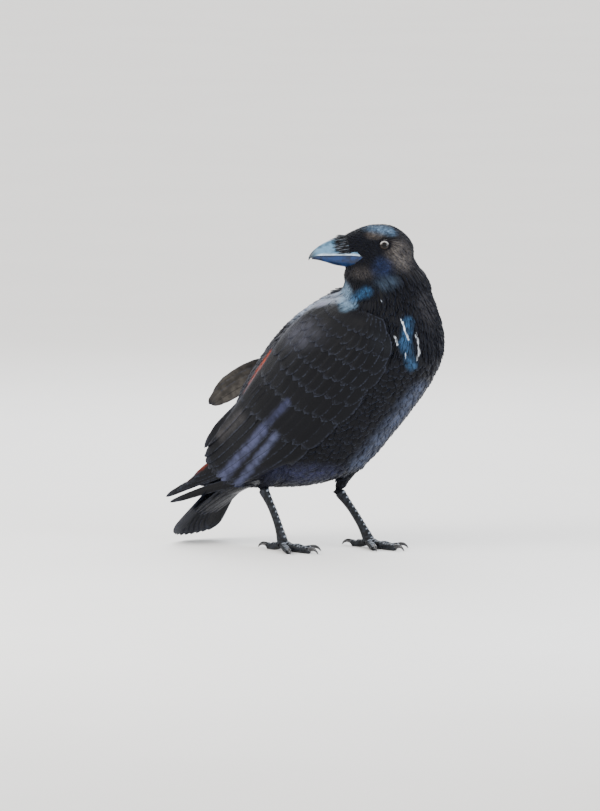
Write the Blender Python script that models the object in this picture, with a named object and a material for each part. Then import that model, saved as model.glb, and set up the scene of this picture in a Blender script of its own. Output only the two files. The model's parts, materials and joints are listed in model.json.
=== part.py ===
"""A raven (Corvus corax), life size, standing and looking back over its right shoulder.

Frame: metres, +Z up, the bird's trunk faces +X and its left side is +Y. The floor is z = 0.
The trunk and neck are one loft of elliptical rings, parted by a thin cut. The head, bill, wings,
tail, legs, toes and claws are lofts of their own, and wherever two pieces meet, one of them is
cut back by a slightly grown copy of the other, so that a gap of GAP stays between them.
"""

import math

import bmesh
import bpy
from mathutils import Matrix, Vector
from mathutils.bvhtree import BVHTree

MM = 0.001
GAP = 0.35 * MM

# Driving places, in millimetres.
HEAD_CENTRE = (107, -10, 377)
HEAD_TURN = -143.0
BODY_SEGMENTS = 20
BODY_STEPS = 2

EYE_RADIUS = 7.6
EYE_ASIDE = 19.4
EYE_AHEAD = 1.0
BILL_ROOT = 47.0

# Rings of the trunk: back point (x, z), breast point (x, z), half width.
TRUNK_RINGS = [
    ((54, 323), (171, 303), 54),
    ((27, 311), (182, 259), 64),
    ((-9, 288), (173, 222), 72),
    ((-39, 258), (146, 181), 75),
    ((-62, 226), (113, 141), 74),
    ((-82, 194), (74, 100), 68),
    ((-94, 162), (10, 77), 55),
    ((-106, 132), (-48, 72), 38),
    ((-118, 107), (-84, 69), 24),
    ((-124, 92), (-104, 70), 12),
]

# Rings of the neck from the top down: centre, half length along the head, half width across it.
NECK_RINGS = [
    ((104, -10, 378), 17, 15),
    ((105, -10, 366), 34, 28),
    ((108, -8, 349), 44, 38),
    ((109, -5, 337), 50, 45),
]

# Rings of the head: distance ahead of its centre, top, bottom, half width.
HEAD_RINGS = [
    (-37.5, -4, -12, 5),
    (-34, 4, -24, 15),
    (-24, 14.5, -33, 22),
    (-9, 22.4, -36, 25.5),
    (8, 23.6, -36, 24.5),
    (22, 21.3, -34, 21),
    (34, 16.6, -30.5, 17),
    (BILL_ROOT, 11.2, -27, 13),
]

# Rings of the two halves of the bill: distance ahead, outer edge, edge at the mouth, half width.
UPPER_BILL = [
    (BILL_ROOT - 3, 10.9, -11.8, 12.4),
    (58, 7.8, -11.8, 10.8),
    (68, 4.0, -11.9, 8.9),
    (77, -0.8, -12.2, 6.8),
    (84, -6.2, -13.2, 4.5),
    (88.5, -11.2, -15.6, 2.5),
    (90.5, -15.2, -18.4, 1.0),
]
LOWER_BILL = [
    (BILL_ROOT - 3, -26.4, -12.2, 11.6),
    (58, -24.2, -12.2, 9.9),
    (68, -21.0, -12.3, 8.0),
    (77, -18.4, -12.6, 5.8),
    (83, -17.2, -13.6, 3.4),
    (86.5, -16.8, -14.9, 1.3),
]

# Wing plates seen from the side: upper rail and lower rail (x, z) from front to rear.
COVERTS_RAILS = (
    [(74, 309), (30, 300), (-8, 263), (-45, 213)],
    [(128, 288), (138, 246), (106, 197), (62, 152)],
)
SECONDARY_RAILS = (
    [(-47, 209), (-71, 178), (-97, 147), (-120, 114)],
    [(60, 149), (20, 117), (-30, 92), (-74, 74)],
)
PRIMARY_RAILS = (
    [(-20, 140), (-80, 120), (-134, 88), (-178, 57)],
    [(34, 124), (-30, 86), (-104, 66), (-177, 52)],
)
LEFT_PRIMARY_RAILS = (
    [(-20, 142), (-72, 119), (-118, 93), (-158, 70)],
    [(34, 126), (-30, 90), (-96, 74), (-157, 65)],
)
LOOSE_RAILS = (
    [(-52, 229), (-84, 219), (-114, 200), (-137, 175)],
    [(-72, 199), (-92, 190), (-114, 176), (-133, 164)],
)
BLADE_ROOT = (-60, 44)
BLADE_TIP = (-180, 22)

# Tail: the middle line from root to tip, and how far it is twisted about that line.
TAIL_ROOT = (-96, 0, 95)
TAIL_TIP = (-170, 0, 5.8)
TAIL_TWIST = 11.0
TAIL_RINGS = [
    (0.00, 13, 9.0),
    (0.18, 21, 8.0),
    (0.40, 31, 6.5),
    (0.65, 42, 5.0),
    (0.80, 45, 4.2),
    (0.91, 39, 3.4),
    (1.00, 21, 2.6),
]

# Legs: ankle over the foot, heel joint, and thigh rings (centre, radius) from the knee down.
LEGS = {
    "left": {
        "side": 1,
        "foot": (69, 36, 9.5),
        "heel": (28, 38, 67),
        "thigh": [
            ((58, 41, 142), 24),
            ((50, 41, 120), 23),
            ((41, 40, 101), 16.5),
            ((33, 39, 83), 10),
            ((26, 38, 65), 6.8),
        ],
        "toes": {"inner": -54, "middle": -20, "outer": 12, "hind": 162},
    },
    "right": {
        "side": -1,
        "foot": (-13, -36, 9.5),
        "heel": (-39, -38, 75),
        "thigh": [
            ((2, -38, 140), 21),
            ((-8, -38, 118), 20),
            ((-21, -38, 99), 15),
            ((-33, -38, 84), 9.6),
            ((-41, -38, 73), 6.8),
        ],
        "toes": {"inner": 14, "middle": -20, "outer": -54, "hind": 158},
    },
}
TARSUS_RADII = [6.6, 4.9, 4.7, 5.2, 7.0]
TOE_SIZES = {  # length, root radius, end radius, claw length, claw radius
    "middle": (46, 5.3, 3.9, 17, 2.8),
    "inner": (34, 5.0, 3.9, 16, 2.7),
    "outer": (37, 4.9, 3.7, 15, 2.6),
    "hind": (27, 5.0, 4.1, 20, 3.0),
}


def clear_scene():
    for obj in list(bpy.data.objects):
        bpy.data.objects.remove(obj)


def make_material(name, colour, roughness, metallic=0.0):
    mat = bpy.data.materials.new(name)
    mat.use_nodes = True
    shader = mat.node_tree.nodes["Principled BSDF"]
    shader.inputs["Base Color"].default_value = (*colour, 1)
    shader.inputs["Roughness"].default_value = roughness
    shader.inputs["Metallic"].default_value = metallic
    return mat


def along(points, share):
    """The point at that share of a smooth curve through points, which are tuples of one length."""
    spans = len(points) - 1
    place = min(max(share, 0.0), 1.0) * spans
    i = min(int(place), spans - 1)
    t = place - i
    before = points[max(i - 1, 0)]
    after = points[min(i + 2, spans)]
    return tuple(
        0.5
        * (
            2 * b
            + (c - a) * t
            + (2 * a - 5 * b + 4 * c - d) * t**2
            + (3 * b - a - 3 * c + d) * t**3
        )
        for a, b, c, d in zip(before, points[i], points[i + 1], after)
    )


def refined(rows, steps):
    """Rows of numbers with steps - 1 more put in between each two, on a smooth curve."""
    spans = (len(rows) - 1) * steps
    return [along(rows, k / spans) for k in range(spans + 1)]


def new_object(name, mesh, mat):
    obj = bpy.data.objects.new(name, mesh)
    parts.objects.link(obj)
    mesh.materials.clear()
    mesh.materials.append(mat)
    mesh.shade_smooth()
    mesh.set_sharp_from_angle(angle=math.radians(50))
    return obj


def loft(name, rings, mat, sheet=False):
    """A closed body through rings of equally many points. Its ends are fans, or on a sheet, whose
    rings run out along one face and back along the other, strips from face to face."""
    bm = bmesh.new()
    rows = [[bm.verts.new(Vector(p) * MM) for p in ring] for ring in rings]
    count = len(rows[0])
    for low, high in zip(rows, rows[1:]):
        for i in range(count):
            j = (i + 1) % count
            bm.faces.new((low[i], low[j], high[j], high[i]))
    for row, turn in ((rows[0], -1), (rows[-1], 1)):
        if sheet:
            for i in range(count // 2 - 1):
                bm.faces.new((row[i], row[i + 1], row[-2 - i], row[-1 - i])[::turn])
            continue
        middle = bm.verts.new(sum((v.co for v in row), Vector()) / count)
        for i in range(count):
            pair = (row[i], row[(i + 1) % count])[::turn]
            bm.faces.new((*pair, middle))
    bmesh.ops.triangulate(bm, faces=bm.faces)
    if bm.calc_volume(signed=True) < 0:
        bmesh.ops.reverse_faces(bm, faces=bm.faces)
    mesh = bpy.data.meshes.new(name)
    bm.to_mesh(mesh)
    bm.free()
    return new_object(name, mesh, mat)


def ellipse(centre, long_axis, side_axis, count):
    centre = Vector(centre)
    turns = [2 * math.pi * k / count for k in range(count)]
    return [centre + long_axis * math.cos(t) + side_axis * math.sin(t) for t in turns]


def grown_copy(obj, gap):
    """A helper just like obj with every face moved out by about gap."""
    helper = obj.copy()
    helper.data = obj.data.copy()
    cutters.objects.link(helper)
    bm = bmesh.new()
    bm.from_mesh(helper.data)
    bm.normal_update()
    moves = [(v, v.normal * gap * v.calc_shell_factor()) for v in bm.verts]
    for v, move in moves:
        v.co += move.normalized() * min(move.length, 1.6 * gap)
    bm.to_mesh(helper.data)
    bm.free()
    helper.hide_render = True
    helper.display_type = "WIRE"
    return helper


def keep_largest(mesh):
    """Deletes all but the largest separate body of a mesh."""
    bm = bmesh.new()
    bm.from_mesh(mesh)
    bmesh.ops.remove_doubles(bm, verts=bm.verts, dist=1e-6)
    left, bodies = set(bm.verts), []
    while left:
        body, edge = set(), [left.pop()]
        while edge:
            v = edge.pop()
            body.add(v)
            near = {e.other_vert(v) for e in v.link_edges} & left
            left -= near
            edge.extend(near)
        bodies.append(body)
    bodies.sort(key=len)
    bmesh.ops.delete(bm, geom=[v for b in bodies[:-1] for v in b], context="VERTS")
    bm.to_mesh(mesh)
    bm.free()


def surface_of(mesh):
    bm = bmesh.new()
    bm.from_mesh(mesh)
    tree = BVHTree.FromBMesh(bm)
    bm.free()
    return tree


def cut_back(obj, tools):
    """Takes each tool out of obj, where it reaches into it."""
    for tool in tools:
        if not surface_of(tool.data).overlap(surface_of(obj.data)):
            continue
        boolean = obj.modifiers.new("cut", "BOOLEAN")
        boolean.operation = "DIFFERENCE"
        boolean.object = tool
        graph = bpy.context.evaluated_depsgraph_get()
        mesh = bpy.data.meshes.new_from_object(obj.evaluated_get(graph))
        obj.modifiers.remove(boolean)
        old, obj.data = obj.data, mesh
        bpy.data.meshes.remove(old)
        keep_largest(obj.data)


def stand_on_floor(obj):
    """Cuts off what is under the floor, which leaves the small flats a piece stands on."""
    bm = bmesh.new()
    bm.from_mesh(obj.data)
    cut = bmesh.ops.bisect_plane(
        bm,
        geom=[*bm.verts, *bm.edges, *bm.faces],
        dist=1e-7,
        plane_co=(0, 0, 0),
        plane_no=(0, 0, 1),
        clear_inner=True,
    )
    rim = [e for e in cut["geom_cut"] if isinstance(e, bmesh.types.BMEdge)]
    if rim:
        bmesh.ops.holes_fill(bm, edges=[e for e in rim if e.is_boundary])
        bmesh.ops.triangulate(bm, faces=[f for f in bm.faces if len(f.verts) > 3])
        bmesh.ops.recalc_face_normals(bm, faces=bm.faces)
    bm.to_mesh(obj.data)
    bm.free()


def head_axes():
    turn = math.radians(HEAD_TURN)
    ahead = Vector((math.cos(turn), math.sin(turn), 0))
    return ahead, Vector((-ahead.y, ahead.x, 0)), Vector((0, 0, 1))


def body_rings():
    """Rings from the top of the neck to the root of the tail."""
    ahead, aside, _ = head_axes()
    rows = []
    for centre, long, wide in NECK_RINGS:
        rows.append((*centre, *(ahead * -long), *(aside * -wide)))
    for back, breast, wide in TRUNK_RINGS:
        middle = [(b + c) / 2 for b, c in zip(back, breast)]
        half = [(c - b) / 2 for b, c in zip(back, breast)]
        rows.append((middle[0], 0, middle[1], half[0], 0, half[1], 0, wide, 0))
    rings = []
    for row in refined(rows, BODY_STEPS):
        rings.append(ellipse(row[:3], Vector(row[3:6]), Vector(row[6:]), BODY_SEGMENTS))
    return rings


def make_head():
    ahead, aside, up = head_axes()
    rings = []
    for reach, top, bottom, wide in refined(HEAD_RINGS, 2):
        middle = Vector(HEAD_CENTRE) + ahead * reach + up * (top + bottom) / 2
        rings.append(ellipse(middle, up * (top - bottom) / 2, aside * wide, 16))
    return loft("head", rings, plumage)


def bill_half(name, rows):
    """Half a bill: an arch over a flat mouth edge."""
    ahead, aside, up = head_axes()
    arch = [math.pi * k / 8 for k in range(9)]
    rings = []
    for reach, outer, mouth, wide in refined(rows, 2):
        root = Vector(HEAD_CENTRE) + ahead * reach
        points = []
        for t in arch:
            across = wide * math.copysign(abs(math.cos(t)) ** 0.8, math.cos(t))
            points.append(root + aside * across + up * (mouth + (outer - mouth) * math.sin(t)))
        points += [root - aside * wide * 0.5 + up * mouth, root + aside * wide * 0.5 + up * mouth]
        rings.append(points)
    return loft(name, rings, horn)


def make_eye(name, side):
    ahead, aside, up = head_axes()
    centre = Vector(HEAD_CENTRE) + aside * side * EYE_ASIDE + ahead * EYE_AHEAD
    bm = bmesh.new()
    place = Matrix.Translation(centre * MM)
    bmesh.ops.create_uvsphere(
        bm, u_segments=12, v_segments=6, radius=EYE_RADIUS * MM, matrix=place
    )
    bmesh.ops.triangulate(bm, faces=bm.faces)
    mesh = bpy.data.meshes.new(name)
    bm.to_mesh(mesh)
    bm.free()
    return new_object(name, mesh, eye_gloss)


def flank(surface, x, z, side):
    """Distance from the middle plane to the trunk's side there, or 0 past its edge."""
    start = Vector((x, side * 300, z)) * MM
    hit = surface.ray_cast(start, Vector((0, -side, 0)))[0]
    return abs(hit.y) / MM if hit else 0.0


def soft_max(a, b, blur=8.0):
    return 0.5 * (a + b + math.sqrt((a - b) ** 2 + blur**2))


def blade_offset(x):
    """How far from the middle plane the free blades of a folded wing lie."""
    share = (x - BLADE_ROOT[0]) / (BLADE_TIP[0] - BLADE_ROOT[0])
    return BLADE_ROOT[1] + (BLADE_TIP[1] - BLADE_ROOT[1]) * min(max(share, 0), 1.3)


def wing_plate(name, rails, side, surface, layer, counts, round_end):
    """A plate on the trunk's side between two rails: layer is its inner, rim and crown height."""
    upper, lower = rails
    inside, rim_height, crown = layer
    steps_long, steps_wide = counts
    outer, inner = [], []
    for i in range(steps_long + 1):
        p = i / steps_long
        high, low = along(upper, p), along(lower, p)
        outer_row, inner_row = [], []
        for j in range(steps_wide + 1):
            q = j / steps_wide
            bulge = round_end * math.sin(math.pi * q) * max(0, (p - 0.6) / 0.4) ** 2
            x = high[0] + (low[0] - high[0]) * q - bulge
            z = high[1] + (low[1] - high[1]) * q - bulge * 0.7
            body = flank(surface, x, z, side)
            y = soft_max(body, blade_offset(x))
            held = min(max((body - blade_offset(x)) / 8, 0), 1)
            rim = max(math.sin(math.pi * q), 0.0) ** 0.6
            ends = min(1.0, 6 * p + 0.25, 3.5 * (1 - p) + 0.3)
            height = rim_height + (crown - rim_height) * rim * ends
            depth = inside * held if inside < 0 else inside
            outer_row.append((x, side * (y + height), z))
            inner_row.append((x, side * (y + depth), z))
        outer.append(outer_row)
        inner.append(inner_row)
    rings = [row + under[::-1] for row, under in zip(outer, inner)]
    return loft(name, rings, flight, sheet=True)


def make_wing(label, side, surface, primaries):
    """Coverts, secondaries and primaries of one folded wing."""
    coverts = wing_plate(
        f"wing_{label}_coverts", COVERTS_RAILS, side, surface, (-3.5, 1.2, 8.5), (8, 6), 0
    )
    outer = wing_plate(
        f"wing_{label}_secondaries", SECONDARY_RAILS, side, surface, (3.0, 4.0, 7.0), (7, 6), 9
    )
    inner = wing_plate(
        f"wing_{label}_primaries", primaries, side, surface, (-2.5, 1.2, 2.4), (10, 4), 0
    )
    return [coverts, outer, inner]


def make_loose_feathers():
    """The innermost flight feathers of the left wing, held off the back."""
    upper, lower = LOOSE_RAILS
    rings = []
    for i in range(9):
        p = i / 8
        high, low = along(upper, p), along(lower, p)
        aside = 36 - 26 * p
        thick = 3.6 - 2.2 * p
        row, under = [], []
        for j in range(5):
            q = j / 4
            x = high[0] + (low[0] - high[0]) * q - 6 * math.sin(math.pi * q) * p**2
            z = high[1] + (low[1] - high[1]) * q
            crown = aside + 3 * math.sin(math.pi * q)
            row.append((x, crown + thick / 2, z))
            under.append((x, crown - thick / 2, z))
        rings.append(row + under[::-1])
    return loft("wing_left_tertials", rings, flight, sheet=True)


def make_tail():
    """A fan of stiff feathers, slightly arched across and twisted about its length."""
    root, tip = Vector(TAIL_ROOT), Vector(TAIL_TIP)
    line = (tip - root).normalized()
    below = Vector((-line.z, 0, line.x))
    twist = math.radians(TAIL_TWIST)
    across = Vector((0, math.cos(twist), 0)) + below * math.sin(twist)
    under = line.cross(across)
    if under.z > 0:
        under = -under
    rings = []
    for share, wide, thick in TAIL_RINGS:
        middle = root.lerp(tip, share)
        top, bottom = [], []
        for k in range(9):
            q = k / 4 - 1
            arch = under * (6 * q**2 * min(1, share * 1.5))
            rim = thick * (1 - 0.7 * abs(q) ** 3)
            point = middle + across * wide * q + arch
            top.append(point - under * rim / 2)
            bottom.append(point + under * rim / 2)
        rings.append(top + bottom[::-1])
    tail = loft("tail", rings, flight, sheet=True)
    stand_on_floor(tail)
    return tail


def tube(name, places, radii, mat, count=10, flat=1.0):
    """A bent, tapering tube through places."""
    spans = len(places) - 1
    rings = []
    for i, (place, radius) in enumerate(zip(places, radii)):
        line = Vector(places[min(i + 1, spans)]) - Vector(places[max(i - 1, 0)])
        line.normalize()
        aside = line.cross(Vector((0, 0, 1)))
        if aside.length < 0.2:
            aside = line.cross(Vector((1, 0, 0)))
        aside.normalize()
        over = aside.cross(line)
        rings.append(ellipse(place, over * radius, aside * radius * flat, count))
    return loft(name, rings, mat)


def make_toe(label, kind, leg):
    """One toe and its claw, lying on the floor."""
    length, root, end, claw_length, claw_radius = TOE_SIZES[kind]
    turn = math.radians(leg["toes"][kind])
    ahead = Vector((math.cos(turn), math.sin(turn), 0))
    start = Vector(leg["foot"])
    places, radii = [], []
    for k in range(8):
        p = k / 7
        swell = 0.5 * math.cos(p * math.pi * (5 if kind == "middle" else 4))
        radius = root + (end - root) * p + swell * 0.8
        height = radius * 0.86 + (start.z - root * 0.86) * (1 - p) ** 3 * 0.55
        places.append(Vector((start.x, start.y, height)) + ahead * (4 + (length - 4) * p))
        radii.append(radius * (0.8 if k == 7 else 1))
    toe = tube(f"toe_{label}_{kind}", places, radii, leg_skin, count=8)
    stand_on_floor(toe)
    base = Vector((start.x, start.y, end)) + ahead * (length - 2.5)
    places, radii = [], []
    for k in range(7):
        p = k / 6
        rise = 2.6 * math.sin(math.pi * min(p * 1.1, 1)) - (end - 0.9) * p**1.7
        places.append(base + ahead * claw_length * math.sin(p * 1.25) / math.sin(1.25)
                      + Vector((0, 0, rise + 0.3)))
        radii.append(claw_radius * (1 - p) ** 0.75 + 0.35)
    claw = tube(f"claw_{label}_{kind}", places, radii, claw_horn, count=6, flat=0.72)
    stand_on_floor(claw)
    return toe, claw


def make_leg(label, leg):
    foot, heel = Vector(leg["foot"]), Vector(leg["heel"])
    bow = Vector((3, 0, 0))
    spans = 2 * (len(TARSUS_RADII) - 1)
    radii = [r[0] for r in refined([(r,) for r in TARSUS_RADII], 2)]
    places = [
        heel.lerp(foot, k / spans) + bow * math.sin(math.pi * k / spans)
        for k in range(spans + 1)
    ]
    tarsus = tube(f"tarsus_{label}", places, radii, leg_skin, count=10, flat=0.85)
    rows = refined([(*centre, radius) for centre, radius in leg["thigh"]], 2)
    thigh = tube(f"thigh_{label}", [r[:3] for r in rows], [r[3] for r in rows], plumage, 14)
    claws, toes = [], []
    for kind in TOE_SIZES:
        toe, claw = make_toe(label, kind, leg)
        toes.append(toe)
        claws.append(claw)
    return [*claws, tarsus, *toes], thigh


clear_scene()
parts = bpy.data.collections.new("raven")
cutters = bpy.data.collections.new("cutters")
for collection in (parts, cutters):
    bpy.context.scene.collection.children.link(collection)

plumage = make_material("plumage", (0.022, 0.024, 0.030), 0.55)
flight = make_material("flight_feathers", (0.020, 0.022, 0.030), 0.45)
horn = make_material("bill_horn", (0.10, 0.15, 0.20), 0.35)
eye_gloss = make_material("eye", (0.015, 0.010, 0.008), 0.05)
leg_skin = make_material("leg_scales", (0.018, 0.017, 0.017), 0.45)
claw_horn = make_material("claw_horn", (0.05, 0.05, 0.055), 0.35)

rings = body_rings()
NECK_END = len(NECK_RINGS) * BODY_STEPS
whole = loft("whole_body", rings, plumage)
body_surface = surface_of(whole.data)
bpy.data.objects.remove(whole)

# Each piece is cut back by a grown copy of every piece before it in this order that it meets.
order = [bill_half("bill_upper", UPPER_BILL), bill_half("bill_lower", LOWER_BILL)]
order += [make_eye("eye_left", 1), make_eye("eye_right", -1)]
feet, thighs = zip(*(make_leg(label, leg) for label, leg in LEGS.items()))
order += [piece for foot in feet for piece in foot]
order += make_wing("right", -1, body_surface, PRIMARY_RAILS)
order += make_wing("left", 1, body_surface, LEFT_PRIMARY_RAILS)
order += [make_loose_feathers(), make_tail(), make_head()]
order += [loft("neck", rings[: NECK_END + 1], plumage), *thighs]
order += [loft("trunk", rings[NECK_END:], plumage)]
tools = [grown_copy(piece, GAP) for piece in order]
for place, piece in enumerate(order):
    cut_back(piece, tools[:place])
for tool in tools:
    bpy.data.objects.remove(tool)

# The origin goes under the middle of the box round the whole bird.
corners = [v.co for piece in order for v in piece.data.vertices]
middle = [(min(c[k] for c in corners) + max(c[k] for c in corners)) / 2 for k in (0, 1)]
for piece in order:
    piece.data.transform(Matrix.Translation((-middle[0], -middle[1], 0)))
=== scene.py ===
# %% [markdown]
# # A raven looking back over its shoulder
#
# A raven is a plain black bird only from far away. Close up it is built of many kinds of
# feather: tiny ones like scales on the face, pointed shaggy ones on the throat, broad rounded
# ones on the breast and back, neat rows over the wing, and long stiff blades in wing and tail.
# This lesson loads the plain measured solids of the bird, grows one skin over the fleshy ones,
# and then lays each kind of feather on it as real, closed pieces of mesh.

# %% Load the measured solids
import json
import math

import bmesh
import bpy
import numpy as np
from mathutils import Matrix, Vector, noise
from mathutils.bvhtree import BVHTree

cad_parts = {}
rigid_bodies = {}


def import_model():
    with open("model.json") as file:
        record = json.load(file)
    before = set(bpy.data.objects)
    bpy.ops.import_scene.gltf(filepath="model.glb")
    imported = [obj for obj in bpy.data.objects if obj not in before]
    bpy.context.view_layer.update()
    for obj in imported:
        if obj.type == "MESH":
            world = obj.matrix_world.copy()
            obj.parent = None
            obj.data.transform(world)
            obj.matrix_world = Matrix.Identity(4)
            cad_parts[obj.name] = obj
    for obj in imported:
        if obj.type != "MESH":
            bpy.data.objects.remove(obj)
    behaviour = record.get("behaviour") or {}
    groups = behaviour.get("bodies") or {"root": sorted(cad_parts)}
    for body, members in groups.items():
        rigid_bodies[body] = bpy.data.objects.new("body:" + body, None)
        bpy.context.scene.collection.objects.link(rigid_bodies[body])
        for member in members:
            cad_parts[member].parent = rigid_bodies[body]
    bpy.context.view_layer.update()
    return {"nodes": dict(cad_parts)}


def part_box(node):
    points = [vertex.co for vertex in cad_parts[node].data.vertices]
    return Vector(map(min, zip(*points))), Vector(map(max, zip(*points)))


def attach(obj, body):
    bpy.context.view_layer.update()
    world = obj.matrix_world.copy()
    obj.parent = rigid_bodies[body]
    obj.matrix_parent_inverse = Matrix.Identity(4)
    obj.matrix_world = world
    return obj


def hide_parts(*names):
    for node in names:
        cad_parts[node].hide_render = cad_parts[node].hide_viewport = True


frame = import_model()
MM = 0.001
scene = bpy.context.scene

# %% [markdown]
# ## Where things are
#
# Every length below is in millimetres, in the same frame as the solids: the trunk faces +X, the
# bird's left is +Y and the floor is at zero. The head has a frame of its own, because it is
# turned right round to look over the right shoulder: `AHEAD` is the way the bill points and
# `ASIDE` is the bird's own left. The middle of the head is found from the two eyes.

# %% The head's own frame
HEAD_TURN = math.radians(-143)
AHEAD = Vector((math.cos(HEAD_TURN), math.sin(HEAD_TURN), 0))
ASIDE = Vector((-AHEAD.y, AHEAD.x, 0))
UP = Vector((0, 0, 1))
EYES = {label: sum(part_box(f"eye_{label}"), Vector()) / 2 / MM for label in ("left", "right")}
EYE_RADIUS = (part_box("eye_left")[1].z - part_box("eye_left")[0].z) / 2 / MM
HEAD = (EYES["left"] + EYES["right"]) / 2 - AHEAD
print("head centre", tuple(round(c, 1) for c in HEAD), "eye radius", round(EYE_RADIUS, 2))


# %% Small helpers for curves and meshes
def along(points, share):
    """The point at that share of a smooth curve through points of one length."""
    spans = len(points) - 1
    place = min(max(share, 0.0), 1.0) * spans
    i = min(int(place), spans - 1)
    t = place - i
    before, after = points[max(i - 1, 0)], points[min(i + 2, spans)]
    return tuple(
        0.5 * (2 * b + (c - a) * t + (2 * a - 5 * b + 4 * c - d) * t**2
               + (3 * b - a - 3 * c + d) * t**3)
        for a, b, c, d in zip(before, points[i], points[i + 1], after)
    )


def refined(rows, steps):
    """Rows of numbers with more put in between them, on a smooth curve."""
    spans = (len(rows) - 1) * steps
    return [along(rows, k / spans) for k in range(spans + 1)]


def smooth_step(low, high, value):
    t = min(max((value - low) / (high - low), 0.0), 1.0)
    return t * t * (3 - 2 * t)


def make_piece(name, mesh, material, angle=None):
    """A finished piece at the origin, smooth all over or up to a crease angle."""
    piece = bpy.data.objects.new(name, mesh)
    scene.collection.objects.link(piece)
    mesh.materials.clear()
    mesh.materials.append(material)
    mesh.shade_smooth()
    if angle:
        mesh.set_sharp_from_angle(angle=math.radians(angle))
    return piece


def surface_of(mesh):
    bm = bmesh.new()
    bm.from_mesh(mesh)
    tree = BVHTree.FromBMesh(bm)
    bm.free()
    return tree


def mesh_from(bm, name):
    """The bmesh as a named mesh."""
    mesh = bpy.data.meshes.new(name)
    bm.to_mesh(mesh)
    bm.free()
    return mesh


def rings_to_mesh(name, rings):
    """A closed mesh through rings of equally many points in millimetres."""
    bm = bmesh.new()
    rows = [[bm.verts.new(Vector(p) * MM) for p in ring] for ring in rings]
    count = len(rows[0])
    for low, high in zip(rows, rows[1:]):
        for i in range(count):
            j = (i + 1) % count
            bm.faces.new((low[i], low[j], high[j], high[i]))
    for row, turn in ((rows[0], -1), (rows[-1], 1)):
        middle = bm.verts.new(sum((v.co for v in row), Vector()) / count)
        for i in range(count):
            bm.faces.new((*(row[i], row[(i + 1) % count])[::turn], middle))
    if bm.calc_volume(signed=True) < 0:
        bmesh.ops.reverse_faces(bm, faces=bm.faces)
    return mesh_from(bm, name)


# %% Small helpers for node trees
def set_socket(tree, socket, value):
    if isinstance(value, bpy.types.NodeSocket):
        tree.links.new(value, socket)
    else:
        socket.default_value = value


def set_inputs(tree, node, inputs):
    """Gives a node its input values or links, which are named or numbered."""
    for key, value in inputs.items():
        set_socket(tree, node.inputs[key], value)


def set_coded(tree, node, values):
    """The same by identifier, where a node has sockets of one name for each kind of data."""
    for socket in node.inputs:
        if socket.identifier in values:
            set_socket(tree, socket, values[socket.identifier])


def add_node(tree, kind, inputs=None, **settings):
    node = tree.nodes.new(kind)
    for key, value in settings.items():
        setattr(node, key, value)
    set_inputs(tree, node, inputs or {})
    return node


def live(sockets, name):
    """The socket of that name that the node's data type has switched on."""
    return next(s for s in sockets if s.enabled and s.name == name)


def math_node(tree, operation, a, b=0.0, clamp=False):
    return add_node(tree, "ShaderNodeMath", {0: a, 1: b}, operation=operation,
                    use_clamp=clamp).outputs[0]


def vector_node(tree, operation, a, b=(0, 0, 0), output="Vector"):
    return add_node(tree, "ShaderNodeVectorMath", {0: a, 1: b}, operation=operation).outputs[output]


def mix_colour(tree, factor, a, b, blend="MIX"):
    node = add_node(tree, "ShaderNodeMix", data_type="RGBA", blend_type=blend)
    set_coded(tree, node, {"Factor_Float": factor, "A_Color": a, "B_Color": b})
    return next(s for s in node.outputs if s.identifier == "Result_Color")


def map_range(tree, value, low, high, to_low=0.0, to_high=1.0, smooth=True):
    node = add_node(
        tree,
        "ShaderNodeMapRange",
        {"Value": value, "From Min": low, "From Max": high, "To Min": to_low, "To Max": to_high},
        interpolation_type="SMOOTHSTEP" if smooth else "LINEAR",
    )
    return node.outputs[0]


def vector_times(tree, vector, number):
    return add_node(tree, "ShaderNodeVectorMath", {0: vector, "Scale": number},
                    operation="SCALE").outputs[0]


def object_place(tree):
    return add_node(tree, "ShaderNodeTexCoord").outputs["Object"]


def noise_at(tree, place, scale, detail=2.0):
    return add_node(tree, "ShaderNodeTexNoise",
                    {"Vector": place, "Scale": scale, "Detail": detail}).outputs[0]


def stored(tree, name):
    """A number stored on the mesh, read by its material."""
    return add_node(tree, "ShaderNodeAttribute", attribute_name=name).outputs["Fac"]


def bump(tree, height, strength, distance):
    return add_node(tree, "ShaderNodeBump", {
        "Height": height, "Strength": strength, "Distance": distance}).outputs[0]


def new_material(name):
    material = bpy.data.materials.new(name)
    material.use_nodes = True
    return material, material.node_tree, material.node_tree.nodes["Principled BSDF"]
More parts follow.
